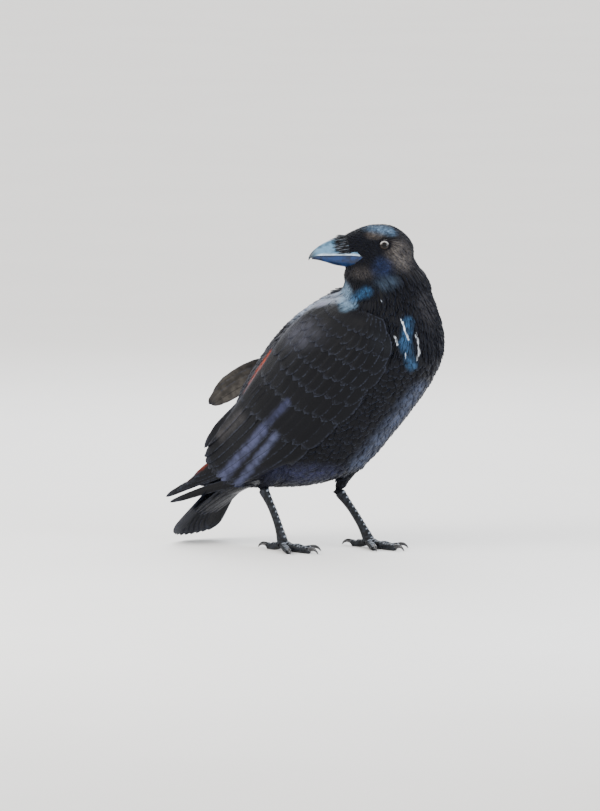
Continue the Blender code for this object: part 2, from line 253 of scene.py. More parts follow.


# %% [markdown]
# ## The colours of a black bird, and its painted sheen
#
# Black feathers are never one black. The ear is a little brown, the loose tertials grey-brown,
# and worn edges of wing feathers show rust. The light on the plumage is painted into the same
# colour: a blue and violet sheen on the throat, neck, breast, belly and wing, a pale grey-blue
# highlight on the mantle between the shoulders, sky-blue and brown highlights on the crown,
# thin white highlights on the breast feathers, and a pale blue-grey band of rim light along the
# breast and belly. These places are soft ellipsoids and capsules measured in the bird's own
# space, so the skin and every feather over it read the same markings and painted sheen.
# They sit in one node group that both materials share. An image would do it too, but it would
# need unwrapping, and it could not be shared by pieces of such different shapes.

# %% The markings and painted sheen, as one shared node group
PLUMAGE_BLACK = (0.0026, 0.0027, 0.0038, 1)
RIPPLE = 0.006  # how far noise moves the edges of the marks, in metres
FINE_STROKE = 4  # strokes of up to this radius in mm are whole, and wider ones are broken
PATCHES = [  # centre, radii, colour, strength
    ((134, -20, 364), (22, 20, 25), (0.098, 0.086, 0.076), 0.80),
    ((95, -47, 344), (22, 14, 10), (0.044, 0.039, 0.036), 0.75),
    # painted highlights on the crown, sky-blue and brown (this line and the next)
    ((112, -22, 395), (26, 14, 8), (0.130, 0.215, 0.330), 0.75),
    ((106, -30, 389), (15, 11, 6), (0.110, 0.090, 0.074), 0.65),
    # painted sheen: blue gloss on the throat (this line and the next)
    ((121, -42, 351), (15, 15, 17), (0.010, 0.017, 0.048), 0.90),
    ((128, -45, 333), (18, 15, 11), (0.034, 0.052, 0.078), 0.60),
    ((22, -67, 270), (44, 26, 22), (0.034, 0.035, 0.048), 0.80),
    # painted sheen: blue-violet low on the flank and belly
    ((20, -40, 94), (62, 30, 18), (0.024, 0.026, 0.062), 0.75),
    ((-108, 20, 190), (62, 32, 46), (0.062, 0.056, 0.050), 0.90),
    ((172, -14, 305), (20, 20, 30), (0.036, 0.034, 0.036), 0.60),
]
STROKES = [  # start, end, radius, colour, strength
    # painted highlight and sheen on the mantle, pale grey-blue and violet (this line and the next)
    ((2, -18, 290), (66, -38, 312), 25.0, (0.200, 0.238, 0.310), 0.85),
    ((34, -36, 300), (44, -46, 304), 11.0, (0.060, 0.058, 0.105), 0.80),
    # painted sheen: blue gloss on the side of the neck (this line and the next)
    ((66, -34, 322), (82, -58, 306), 16.0, (0.140, 0.225, 0.320), 0.80),
    ((84, -50, 314), (104, -51, 322), 10.0, (0.022, 0.070, 0.150), 0.85),
    # painted sheen: deep blue on the breast (this line and the next)
    ((155, -42, 286), (153, -47, 262), 11.0, (0.020, 0.060, 0.125), 0.90),
    ((153, -47, 262), (158, -38, 234), 11.0, (0.022, 0.058, 0.115), 0.85),
    # painted highlights: thin white strokes on the breast feathers (this line and the next three)
    ((148, -47, 290), (156, -44, 266), 1.9, (0.760, 0.790, 0.840), 0.90),
    ((142, -54, 273), (146, -53, 259), 1.7, (0.700, 0.740, 0.800), 0.85),
    ((163, -38, 273), (166, -35, 258), 2.0, (0.760, 0.790, 0.840), 0.90),
    ((166, -35, 258), (163, -34, 241), 2.4, (0.760, 0.790, 0.840), 0.90),
    # painted rim light: a pale blue-grey band along the edge of the breast and belly
    ((157, -14, 196), (80, -14, 104), 27.0, (0.042, 0.052, 0.084), 0.80),
    # painted highlights: small white ticks (this line and the next)
    ((153, -46, 249), (154, -45, 240), 1.3, (0.700, 0.740, 0.800), 0.85),
    ((119, -52, 318), (124, -53, 311), 1.2, (0.500, 0.560, 0.640), 0.85),
    # painted sheen: blue and violet strokes on the wing (this line and the next two)
    ((11, -77, 187), (-26, -72, 150), 9.0, (0.026, 0.029, 0.062), 0.85),
    ((-26, -72, 150), (-94, -46, 84), 10.5, (0.050, 0.055, 0.108), 0.85),
    ((-6, -76, 146), (-78, -46, 70), 8.5, (0.052, 0.058, 0.108), 0.85),
    ((-60, -58, 164), (-92, -50, 140), 15.0, (0.030, 0.028, 0.029), 0.70),
    ((-31, -45, 240), (-70, -43, 194), 10.5, (0.190, 0.021, 0.002), 0.94),
    ((-122, -38, 104), (-152, -30, 84), 9.5, (0.200, 0.020, 0.002), 0.94),
]


def build_marks_and_sheen():
    tree = bpy.data.node_groups.new("plumage_marks_and_sheen", "ShaderNodeTree")
    tree.interface.new_socket("Color", in_out="OUTPUT", socket_type="NodeSocketColor")
    place = object_place(tree)
    ripple = noise_at(tree, place, 95.0, 3.0).node.outputs["Color"]
    shifted = vector_node(tree, "SUBTRACT", ripple, (0.5, 0.5, 0.5))
    shifted = vector_node(tree, "MULTIPLY_ADD", shifted, (RIPPLE, RIPPLE, RIPPLE))
    tree.links.new(place, shifted.node.inputs[2])
    broken = map_range(tree, noise_at(tree, place, 110.0, 4.0), 0.36, 0.60, 0.50, 1.0)
    colour = PLUMAGE_BLACK
    for centre, radii, tint, strength in PATCHES:
        offset = vector_node(tree, "SUBTRACT", shifted, tuple(c * MM for c in centre))
        scaled = vector_node(tree, "DIVIDE", offset, tuple(r * MM for r in radii))
        reach = vector_node(tree, "LENGTH", scaled, output="Value")
        mask = math_node(tree, "MULTIPLY", map_range(tree, reach, 1.3, 0.1, 0.0, strength), broken)
        colour = mix_colour(tree, mask, colour, (*tint, 1))
    for start, end, radius, tint, strength in STROKES:
        start, end = Vector(start) * MM, Vector(end) * MM
        line = end - start
        offset = vector_node(tree, "SUBTRACT", shifted, tuple(start))
        dot = vector_node(tree, "DOT_PRODUCT", offset, tuple(line), output="Value")
        share = math_node(tree, "DIVIDE", dot, line.length_squared, clamp=True)
        apart = vector_node(tree, "SUBTRACT", offset, vector_times(tree, tuple(line), share))
        reach = vector_node(tree, "LENGTH", apart, output="Value")
        mask = map_range(tree, reach, radius * MM, radius * MM * 0.10, 0.0, strength)
        if radius > FINE_STROKE:
            mask = math_node(tree, "MULTIPLY", mask, broken)
        colour = mix_colour(tree, mask, colour, (*tint, 1))
    add_node(tree, "NodeGroupOutput", {"Color": colour})
    return tree


marks_and_sheen_group = build_marks_and_sheen()
print("marks:", len(PATCHES), "patches and", len(STROKES), "strokes")

# %% [markdown]
# ## Feather and horn finishes
#
# A vane is combed out of fine barbs that slant away from the shaft, so its material reads the
# vane's own map: u runs from root to tip and v runs across. That map drives the barb bump, the
# paler bluish-grey rim along the edges and tip, and the dark shaft. Each feather also has a
# random `shade` of its own. Seen at a glancing angle, its colour turns blue, a painted gloss.

# %% Feather materials
def feather_material(name, barbs, rim_strength, rough, sheen, relief):
    material, tree, shader = new_material(name)
    marks_and_sheen = add_node(tree, "ShaderNodeGroup", node_tree=marks_and_sheen_group).outputs["Color"]
    place = object_place(tree)
    shade = stored(tree, "shade")
    vane = add_node(tree, "ShaderNodeUVMap", uv_map="vane").outputs["UV"]
    split = add_node(tree, "ShaderNodeSeparateXYZ", {0: vane})
    u, v = split.outputs["X"], split.outputs["Y"]
    off_shaft = math_node(tree, "ABSOLUTE", math_node(tree, "SUBTRACT", v, 0.5))
    bright = map_range(tree, shade, 0.0, 1.0, 0.68, 1.45, smooth=False)
    grey = add_node(tree, "ShaderNodeCombineColor", {0: bright, 1: bright, 2: bright}).outputs[0]
    colour = mix_colour(tree, 1.0, marks_and_sheen, grey, "MULTIPLY")
    rim = math_node(tree, "MAXIMUM", map_range(tree, off_shaft, 0.36, 0.50),
                    map_range(tree, u, 0.84, 1.0))
    fleck = map_range(tree, noise_at(tree, place, 420.0), 0.35, 0.65)
    rim = math_node(tree, "MULTIPLY", rim, fleck)
    rim = math_node(tree, "MULTIPLY", rim, rim_strength)
    colour = mix_colour(tree, rim, colour, (0.032, 0.037, 0.056, 1))
    shaft = math_node(tree, "MULTIPLY", map_range(tree, off_shaft, 0.035, 0.012), 0.55)
    colour = mix_colour(tree, shaft, colour, (0.004, 0.004, 0.005, 1))
    glance = add_node(tree, "ShaderNodeLayerWeight", {"Blend": 0.35}).outputs["Facing"]
    gloss = math_node(tree, "MULTIPLY", map_range(tree, glance, 0.35, 1.0), 0.30)
    colour = mix_colour(tree, gloss, colour, (0.012, 0.017, 0.044, 1))
    slant = math_node(tree, "MULTIPLY", off_shaft, 1.1)
    comb = math_node(tree, "SUBTRACT", u, slant)
    wave = math_node(tree, "SINE", math_node(tree, "MULTIPLY", comb, barbs))
    height = math_node(tree, "ADD", math_node(tree, "MULTIPLY", wave, 0.5),
                       noise_at(tree, place, 900.0))
    set_inputs(tree, shader, {
        "Base Color": colour, "Normal": bump(tree, height, relief, 0.0004),
        "Roughness": map_range(tree, shade, 0, 1, rough - 0.05, rough + 0.08),
        "Specular IOR Level": 0.08, "Sheen Weight": sheen, "Sheen Roughness": 0.45,
        "Sheen Tint": (0.45, 0.55, 0.95, 1)})
    return material


body_feather = feather_material("body_feather", 60.0, 0.45, 0.46, 0.015, 0.35)
face_feather = feather_material("face_feather", 30.0, 0.30, 0.50, 0.015, 0.30)
wing_feather = feather_material("wing_feather", 150.0, 0.60, 0.40, 0.01, 0.35)


# %% The skin under the feathers, with the same markings and painted sheen
def plain_material(name, colour, rough, scale, mottle, relief, coat=0.0):
    """Claws, lids and floor: a mottled colour over small relief."""
    material, tree, shader = new_material(name)
    place = object_place(tree)
    cloud = noise_at(tree, place, scale, 5.0)
    second = tuple(c * mottle for c in colour)
    base = mix_colour(tree, map_range(tree, cloud, 0.35, 0.65), (*colour, 1), (*second, 1))
    grain = noise_at(tree, place, scale * 9, 3.0)
    set_inputs(tree, shader, {
        "Base Color": base, "Normal": bump(tree, grain, relief, 0.0003),
        "Roughness": map_range(tree, cloud, 0.3, 0.7, rough - 0.06, rough + 0.08),
        "Coat Weight": coat, "Coat Roughness": 0.12})
    return material


skin_material, tree, shader = new_material("plumage_skin")
marks_and_sheen = add_node(tree, "ShaderNodeGroup", node_tree=marks_and_sheen_group).outputs["Color"]
down = noise_at(tree, object_place(tree), 700.0)
set_inputs(tree, shader, {
    "Base Color": mix_colour(tree, 0.45, marks_and_sheen, (0.004, 0.004, 0.006, 1)),
    "Normal": bump(tree, down, 0.5, 0.0006), "Roughness": 0.9, "Specular IOR Level": 0.1})
print("feather and skin finishes made")

# %% [markdown]
# ## One skin over the fleshy solids
#
# The solids of trunk, neck, head and thighs were parted by thin cuts. Here a copy of each is
# swollen a little so that the cuts close, and a voxel remesh melts them into one skin. It is
# then smoothed, and drawn in by the depth of the feathers that will lie on it: hardly at all
# on the face and by some millimetres on the body. The wing coverts melt in too, so the wing
# grows out of the shoulder instead of lying on it like a plate.

# %% Melt the solids into one form
def melted(name, nodes, swell, voxel, smoothing):
    """A copy of solids, swollen, melted together and smoothed; its largest body only."""
    bm = bmesh.new()
    for node_name in nodes:
        part = bmesh.new()
        part.from_mesh(frame["nodes"][node_name].data)
        bmesh.ops.remove_doubles(part, verts=part.verts, dist=1e-5)
        part.normal_update()
        for v, move in [(v, v.normal * swell * MM) for v in part.verts]:
            v.co += move
        copy = mesh_from(part, "copy")
        bm.from_mesh(copy)
        bpy.data.meshes.remove(copy)
    form = bpy.data.objects.new(name, mesh_from(bm, name))
    scene.collection.objects.link(form)
    remesh = form.modifiers.new("melt", "REMESH")
    remesh.mode = "VOXEL"
    remesh.voxel_size = voxel * MM
    relax = form.modifiers.new("relax", "SMOOTH")
    relax.factor = 0.5
    relax.iterations = smoothing
    graph = bpy.context.evaluated_depsgraph_get()
    result = bpy.data.meshes.new_from_object(form.evaluated_get(graph))
    bpy.data.objects.remove(form)
    bm = bmesh.new()
    bm.from_mesh(result)
    left, bodies = set(bm.verts), []
    while left:
        body, edge = set(), [left.pop()]
        while edge:
            v = edge.pop()
            body.add(v)
            near = {e.other_vert(v) for e in v.link_edges} & left
            left -= near
            edge.extend(near)
        bodies.append(body)
    bodies.sort(key=len)
    bmesh.ops.delete(bm, geom=[v for b in bodies[:-1] for v in b], context="VERTS")
    bm.to_mesh(result)
    bm.free()
    return result


FLESH = ["trunk", "neck", "head", "thigh_left", "thigh_right"]
COVERTS = ["wing_left_coverts", "wing_right_coverts"]
SECONDARIES = ["wing_left_secondaries", "wing_right_secondaries"]
skin_mesh = melted("skin", FLESH + COVERTS + ["eye_left", "eye_right"], 0.9, 2.3, 14)
wing_form = surface_of(melted("wing_form", ["trunk"] + COVERTS + SECONDARIES, 0.9, 2.6, 16))
trunk_form = surface_of(melted("trunk_form", ["trunk"], 0.2, 3.0, 6))
print("skin faces:", len(skin_mesh.polygons))


# %% Draw the skin in by the depth of its feathers
def mesh_arrays(mesh):
    places = np.empty(len(mesh.vertices) * 3)
    mesh.vertices.foreach_get("co", places)
    normals = np.empty(len(mesh.vertices) * 3)
    mesh.vertices.foreach_get("normal", normals)
    edges = np.empty(len(mesh.edges) * 2, dtype=int)
    mesh.edges.foreach_get("vertices", edges)
    return places.reshape(-1, 3) / MM, normals.reshape(-1, 3), edges.reshape(-1, 2)


def spread(values, edges, rounds):
    """Evens out one value or vector per vertex over its neighbours."""
    count = np.bincount(edges.ravel(), minlength=len(values)).reshape(-1, 1)
    for _ in range(rounds):
        total = np.zeros_like(values)
        np.add.at(total, edges[:, 0], values[edges[:, 1]])
        np.add.at(total, edges[:, 1], values[edges[:, 0]])
        values = 0.5 * values + 0.5 * total / count
    return values


def unit(vectors):
    return vectors / np.maximum(np.linalg.norm(vectors, axis=1, keepdims=True), 1e-9)


def ramp(values, low, high):
    t = np.clip((values - low) / (high - low), 0, 1)
    return t * t * (3 - 2 * t)


places, normals, edges = mesh_arrays(skin_mesh)
from_head = places - np.array(HEAD)
ahead_of_head = from_head @ np.array(AHEAD)
head_gap = np.linalg.norm(from_head * (1, 1, 0.8), axis=1)
headness = ramp(-head_gap, -52, -36)
headness = np.maximum(headness, ramp(ahead_of_head, 8, 20) * ramp(-head_gap, -70, -60))
neckness = ramp(places[:, 2], 300, 335)
near_eye = np.min([np.linalg.norm(places - np.array(c), axis=1) for c in EYES.values()], axis=0)
coat_depth = 4.6 - 2.4 * neckness - 1.5 * headness + 2.4 * ramp(-near_eye, -10.5, -8.0)
places -= normals * coat_depth[:, None]
skin_mesh.vertices.foreach_set("co", (places * MM).ravel())
skin_mesh.update()
places, normals, edges = mesh_arrays(skin_mesh)
outward = unit(spread(normals.copy(), edges, 3))
print("coat depth from", round(coat_depth.min(), 1), "to", round(coat_depth.max(), 1), "mm")

# %% [markdown]
# ## Which way the feathers lie
#
# Feathers start at the bill, run back over the head, down the neck and along the trunk to the
# tail, and down each thigh. A guide line gives those directions. Every point of the
# skin takes a weighted mean of the guide's directions near it, laid flat on the skin. The head
# is turned back, so the guide turns with it, and the lie swirls round the neck as on the bird.

# %% The lie of the feathers
SPINE = [(67, -38, 372), (86, -24, 378), (105, -9, 374), (110, -6, 352), (102, -2, 320),
         (70, 0, 270), (26, 0, 215), (-22, 0, 165), (-72, 0, 122), (-110, 0, 90), (-152, 0, 40)]
THIGHS = {
    "left": [(56, 41, 142), (48, 41, 120), (39, 40, 101), (31, 39, 83), (24, 38, 65)],
    "right": [(0, -38, 140), (-10, -38, 118), (-23, -38, 99), (-35, -38, 84), (-43, -38, 73)],
}


def guide_pull(line, width):
    """The sum of a guide line's directions at each skin point, and its gap to the line."""
    points = np.array(refined(line, 6))
    middles, turns = (points[1:] + points[:-1]) / 2, unit(points[1:] - points[:-1])
    reach = np.linalg.norm(places[:, None] - middles[None], axis=2)
    weight = np.exp(-((reach / width) ** 2)) + 1e-12
    return weight @ turns, reach.min(axis=1)


lie = unit(guide_pull(SPINE, 44.0)[0])
near_thigh = np.full(len(places), 1e3)
for line in THIGHS.values():
    pull, reach = guide_pull(line, 20.0)
    share = (ramp(-reach, -34, -20) * ramp(-places[:, 2], -132, -112))[:, None]
    lie = lie * (1 - share) + unit(pull) * share
    near_thigh = np.minimum(near_thigh, reach)
for centre in EYES.values():
    past = places - np.array(centre)
    reach = np.linalg.norm(past, axis=1)
    lie = unit(lie + unit(past) * (1.8 * ramp(-reach, -17, -9))[:, None])
for _ in range(3):
    lie -= outward * (lie * outward).sum(axis=1)[:, None]
    lie = spread(unit(lie), edges, 6)
lie = unit(lie - outward * (lie * outward).sum(axis=1)[:, None])
print("lie of the feathers set at", len(lie), "points")

# %% [markdown]
# ## The folded wing's own map
#
# A folded wing is a panel between two rails, seen from the side: the upper rail runs down the
# back from the shoulder to the wing tip, and the lower rail runs along the breast and belly.
# `share` goes from shoulder to tip and `across` from the upper rail to the lower one. Both the
# rows of wing feathers and the bare patch that they need in the body's coat come from this map.

# %% Rails of the folded wing
UPPER_RAIL = [(72, 309), (28, 300), (-10, 263), (-48, 211), (-75, 178), (-103, 147), (-131, 113)]
LOWER_RAIL = [(126, 288), (136, 246), (104, 197), (60, 151), (18, 117), (-33, 91), (-82, 71)]
BLOCK = 4000  # skin points compared with the rails at a time
GRID_LONG, GRID_WIDE = 60, 30


def on_wing(share, across, rails=(UPPER_RAIL, LOWER_RAIL)):
    high, low = along(rails[0], share), along(rails[1], share)
    return tuple(a + (b - a) * across for a, b in zip(high, low))


pairs = [(i / GRID_LONG, j / GRID_WIDE)
         for i in range(GRID_LONG + 1) for j in range(GRID_WIDE + 1)]
grid, grid_share = np.array([on_wing(*pair) for pair in pairs]), np.array(pairs)
wing_share = np.zeros((len(places), 2))
wing_gap = np.zeros(len(places))
for start in range(0, len(places), BLOCK):
    block = slice(start, start + BLOCK)
    reach = np.linalg.norm(places[block][:, [0, 2]][:, None] - grid[None], axis=2)
    wing_gap[block] = reach.min(axis=1)
    wing_share[block] = grid_share[reach.argmin(axis=1)]
inner = (wing_share[:, 0] > 0.035) & (wing_share[:, 1] > 0.05) & (wing_share[:, 1] < 0.95)
under_wing = (np.abs(places[:, 1]) > 25) & (wing_gap < 3.5) & inner & (wing_share[:, 0] < 0.5)
print("skin points under the wings:", int(under_wing.sum()))

# %% [markdown]
# ## Zones of the coat
#
# Each kind of feather covers its own zone, stored on the skin as a number from 0 to 1 that
# thins out the places where feathers are set. The bare ring round each eye, the root of the
# bill and the patch under the wing stay clear.

# %% Zones on the skin
# how far ahead of the head's middle the bill's root and its corner lie, and their reach, in mm
ROOT_AHEAD, CHEEK_AHEAD, BILL_REACH = 45, 25, 62
eye_gap = np.min([np.linalg.norm(places - np.array(c + AHEAD * 1.0), axis=1)
                  for c in EYES.values()], axis=0)
from_head = places - np.array(HEAD)
ahead = from_head @ np.array(AHEAD)
height = from_head[:, 2]
ragged_edge = ROOT_AHEAD + 1.6 * np.sin(height * 0.9)
bill_root = (ahead > ragged_edge) & (np.linalg.norm(from_head, axis=1) < BILL_REACH)
horn_top = -11.2 - np.maximum(ROOT_AHEAD - ahead, 0) * 0.1
horn_foot = -13.5 - (ahead - CHEEK_AHEAD) * 0.66
horn = (ahead > CHEEK_AHEAD) & (height < horn_top) & (height > horn_foot)
horn &= head_gap < BILL_REACH
clear = (eye_gap > 8.2) & ~bill_root & ~under_wing & ~horn
x, z = places[:, 0], places[:, 2]
on_head = headness > 0.45
face = on_head & (ahead > 0)
crown = on_head & ~face
thigh = ~on_head & (near_thigh < 27) & (z < 118)
throat = ~on_head & (z > 258) & ((x > 70) | (z > 322))
belly = ~on_head & ~thigh & (z < 140)
back_side = outward[:, 2] - 0.55 * outward[:, 0] > 0.1
mantle = ~on_head & ~thigh & ~throat & ~belly & back_side
breast = ~on_head & ~thigh & ~throat & ~belly & ~back_side
zones = {"face": face, "crown": crown, "throat": throat, "mantle": mantle,
         "breast": breast, "belly": belly, "thighs": thigh}
growth = 0.75 + 0.35 * ramp(-ahead, -42, 10) * headness + 0.25 * (1 - headness)
growth *= 0.42 + 0.58 * ramp(eye_gap, 8.5, 16)
for label, zone in zones.items():
    print(label, int((zone & clear).sum()), "points")


# %% Write the fields onto the skin, and unwrap it
def store_field(mesh, name, values, vector=False):
    kind = "FLOAT_VECTOR" if vector else "FLOAT"
    field = mesh.attributes.new(name, kind, "POINT")
    field.data.foreach_set("vector" if vector else "value", np.asarray(values, float).ravel())


for label, zone in zones.items():
    store_field(skin_mesh, f"zone_{label}", (zone & clear).astype(float))
store_field(skin_mesh, "lie", lie, vector=True)
store_field(skin_mesh, "out", outward, vector=True)
store_field(skin_mesh, "growth", growth)
skin = make_piece("skin", skin_mesh, skin_material)
bpy.context.view_layer.objects.active = skin
skin.select_set(True)
bpy.ops.object.mode_set(mode="EDIT")
bpy.ops.mesh.select_all(action="SELECT")
bpy.ops.uv.smart_project(angle_limit=math.radians(66), island_margin=0.004)
bpy.ops.object.mode_set(mode="OBJECT")
skin_mesh.uv_layers[0].name = "OFBake"
print("skin unwrapped, uv maps:", [layer.name for layer in skin_mesh.uv_layers])

# %% [markdown]
# ## One feather of each kind
#
# A body feather is a thin cambered vane, closed all round: a row of five points across its top
# and three under it, at six places along its length. It is one unit long and one wide, so that
# the coat can stretch it. `height` stores how far each point should stand off the skin, from 0
# under its neighbours at the root to 1 at the free tip, and `vane` is its own flat map.

# %% Feather templates
FEATHER_SHAPES = {  # share of length, half width
    "round": [(0, 0.10), (0.22, 0.34), (0.50, 0.50), (0.76, 0.45), (0.93, 0.25), (1.0, 0.05)],
    "round_worn": [(0, 0.10), (0.24, 0.37), (0.52, 0.48), (0.78, 0.38), (0.90, 0.23), (0.97, 0.03)],
    "lance": [(0, 0.12), (0.20, 0.38), (0.45, 0.50), (0.70, 0.38), (0.88, 0.20), (1.0, 0.02)],
    "lance_worn": [(0, 0.12), (0.22, 0.42), (0.50, 0.46), (0.74, 0.33), (0.92, 0.15), (1.04, 0.01)],
    "scale": [(0, 0.18), (0.45, 0.50), (0.82, 0.38), (1.0, 0.06)],
    "scale_worn": [(0, 0.16), (0.40, 0.46), (0.78, 0.42), (1.05, 0.04)],
}


def feather_template(name, outline, lean):
    small = len(outline) < 5
    tops = [0, 0.5, 1] if small else [0, 0.25, 0.5, 0.75, 1]
    unders = [0.5] if small else [0.75, 0.5, 0.25]
    verts, flat, heights = [], [], []
    for share, half in outline:
        rise = share**1.3
        sag = lean * math.sin(share * 2.6)
        for v in tops:
            verts.append((share, (v - 0.5) * 2 * half + sag))
            heights.append(rise + 0.22 * (1 - (2 * v - 1) ** 2))
            flat.append((share, v))
        for v in unders:
            verts.append((share, (v - 0.5) * 2 * half + sag))
            heights.append(rise - 0.16)
            flat.append((share, v))
    count = len(tops) + len(unders)
    faces = []
    for k in range(len(outline) - 1):
        a, b = k * count, (k + 1) * count
        for i in range(count):
            j = (i + 1) % count
            faces.append((a + i, b + i, b + j, a + j))
    last = (len(outline) - 1) * count
    faces.append(tuple(range(count)))
    faces.append(tuple(range(last + count - 1, last - 1, -1)))
    mesh = bpy.data.meshes.new(name)
    mesh.from_pydata([(a, b, h * 0.02) for (a, b), h in zip(verts, heights)], [], faces)
    bm = bmesh.new()
    bm.from_mesh(mesh)
    if bm.calc_volume(signed=True) < 0:
        bmesh.ops.reverse_faces(bm, faces=bm.faces)
    bm.to_mesh(mesh)
    bm.free()
    vane = mesh.uv_layers.new(name="vane")
    for loop in mesh.loops:
        vane.data[loop.index].uv = flat[loop.vertex_index]
    store_field(mesh, "height", heights)
    mesh.shade_smooth()
    return bpy.data.objects.new(name, mesh)


templates = {
    name: feather_template(name, outline, 0.05 if "worn" in name else -0.03)
    for name, outline in FEATHER_SHAPES.items()
}
print("templates:", {name: len(o.data.polygons) for name, o in templates.items()})

# %% [markdown]
# ## The coat tree
#
# One Geometry Nodes tree makes every zone. It scatters points over the zone at an even spacing,
# turns each feather to the lie with its face outwards, and makes the instances real. Then it
# presses each point of each feather onto the skin and lifts it along the skin's own outward
# direction by its stored height, so that even a long feather follows a round breast and each
# row's tips cover the next row's roots. Hair curves would be quicker, but they can't be
# exported as solid mesh.

# %% Steps that the coat and the bristles share
BAKE_PATCH = 0.003  # side of one feather's patch, as a share of the baking map


def named(tree, name, kind="FLOAT"):
    return live(add_node(tree, "GeometryNodeInputNamedAttribute", {"Name": name},
                         data_type=kind).outputs, "Attribute")


def random_value(tree, low, high, seed, kind="FLOAT"):
    tag = "_001" if kind == "FLOAT" else "_002"
    node = add_node(tree, "FunctionNodeRandomValue", data_type=kind)
    set_coded(tree, node, {"Min" + tag: low, "Max" + tag: high, "Seed": seed})
    return next(s for s in node.outputs if s.identifier == "Value" + tag)


def store(tree, geometry, name, value, kind="FLOAT", domain="POINT"):
    node = add_node(tree, "GeometryNodeStoreNamedAttribute", {"Geometry": geometry, "Name": name},
                    data_type=kind, domain=domain)
    tree.links.new(value, live(node.inputs, "Value"))
    return node.outputs[0]


def new_tree(name, inputs):
    """A tree with its named inputs, and the sockets that hand them on."""
    tree = bpy.data.node_groups.new(name, "GeometryNodeTree")
    sockets = tree.interface
    sockets.new_socket("Geometry", in_out="OUTPUT", socket_type="NodeSocketGeometry")
    sockets.new_socket("Geometry", in_out="INPUT", socket_type="NodeSocketGeometry")
    for label, kind, value in inputs:
        socket = sockets.new_socket(label, in_out="INPUT", socket_type=kind)
        if value is not None:
            socket.default_value = value
    return tree, add_node(tree, "NodeGroupInput").outputs


def scattered(tree, given, shade_seed, limits=None):
    """Points at an even spacing that know their place on the baking map and a random shade."""
    spacing = given["Spacing"]
    dense = math_node(tree, "DIVIDE", 5.0, math_node(tree, "MULTIPLY", spacing, spacing))
    scatter = add_node(
        tree, "GeometryNodeDistributePointsOnFaces",
        {"Mesh": given["Geometry"], "Distance Min": spacing, "Density Max": dense,
         "Seed": given["Seed"], **(limits or {})},
        distribute_method="POISSON",
    )
    points = store(tree, scatter.outputs["Points"], "root_uv",
                   named(tree, "OFBake", "FLOAT_VECTOR"), "FLOAT_VECTOR")
    return store(tree, points, "shade", random_value(tree, 0.0, 1.0, shade_seed))


def facing_along(tree, primary, secondary, axes, turns):
    """The rotation that lays two axes along stored directions, turned a little about itself."""
    facing = add_node(
        tree, "FunctionNodeAxesToRotation",
        {"Primary Axis": named(tree, primary, "FLOAT_VECTOR"),
         "Secondary Axis": named(tree, secondary, "FLOAT_VECTOR")},
        primary_axis=axes[0], secondary_axis=axes[1],
    ).outputs[0]
    turn = add_node(tree, "ShaderNodeCombineXYZ", turns).outputs[0]
    turn = add_node(tree, "FunctionNodeEulerToRotation", {0: turn}).outputs[0]
    return add_node(tree, "FunctionNodeRotateRotation",
                    {"Rotation": facing, "Rotate By": turn}, rotation_space="LOCAL").outputs[0]


def finish_tree(tree, given, geometry):
    """Gives each feather a small patch of the baking map round its root, and its material."""
    patch = vector_node(tree, "SUBTRACT", named(tree, "vane", "FLOAT_VECTOR"), (0.5, 0.5, 0))
    patch = vector_node(tree, "ADD", vector_times(tree, patch, BAKE_PATCH),
                        named(tree, "root_uv", "FLOAT_VECTOR"))
    mapped = store(tree, geometry, "OFBake", patch, "FLOAT2", "CORNER")
    done = add_node(tree, "GeometryNodeSetMaterial",
                    {"Geometry": mapped, "Material": given["Material"]}).outputs[0]
    add_node(tree, "NodeGroupOutput", {0: done})
    return tree


# %% Build the coat tree
COAT_INPUTS = [
    ("Zone", "NodeSocketString", ""), ("Spacing", "NodeSocketFloat", 0.006),
    ("Length", "NodeSocketFloat", 0.024), ("Width", "NodeSocketFloat", 0.013),
    ("Rise", "NodeSocketFloat", 0.0025), ("Looseness", "NodeSocketFloat", 0.2),
    ("Swing", "NodeSocketFloat", 0.15), ("Seed", "NodeSocketInt", 1),
    ("Feather", "NodeSocketObject", None), ("Worn Feather", "NodeSocketObject", None),
    ("Material", "NodeSocketMaterial", None),
]


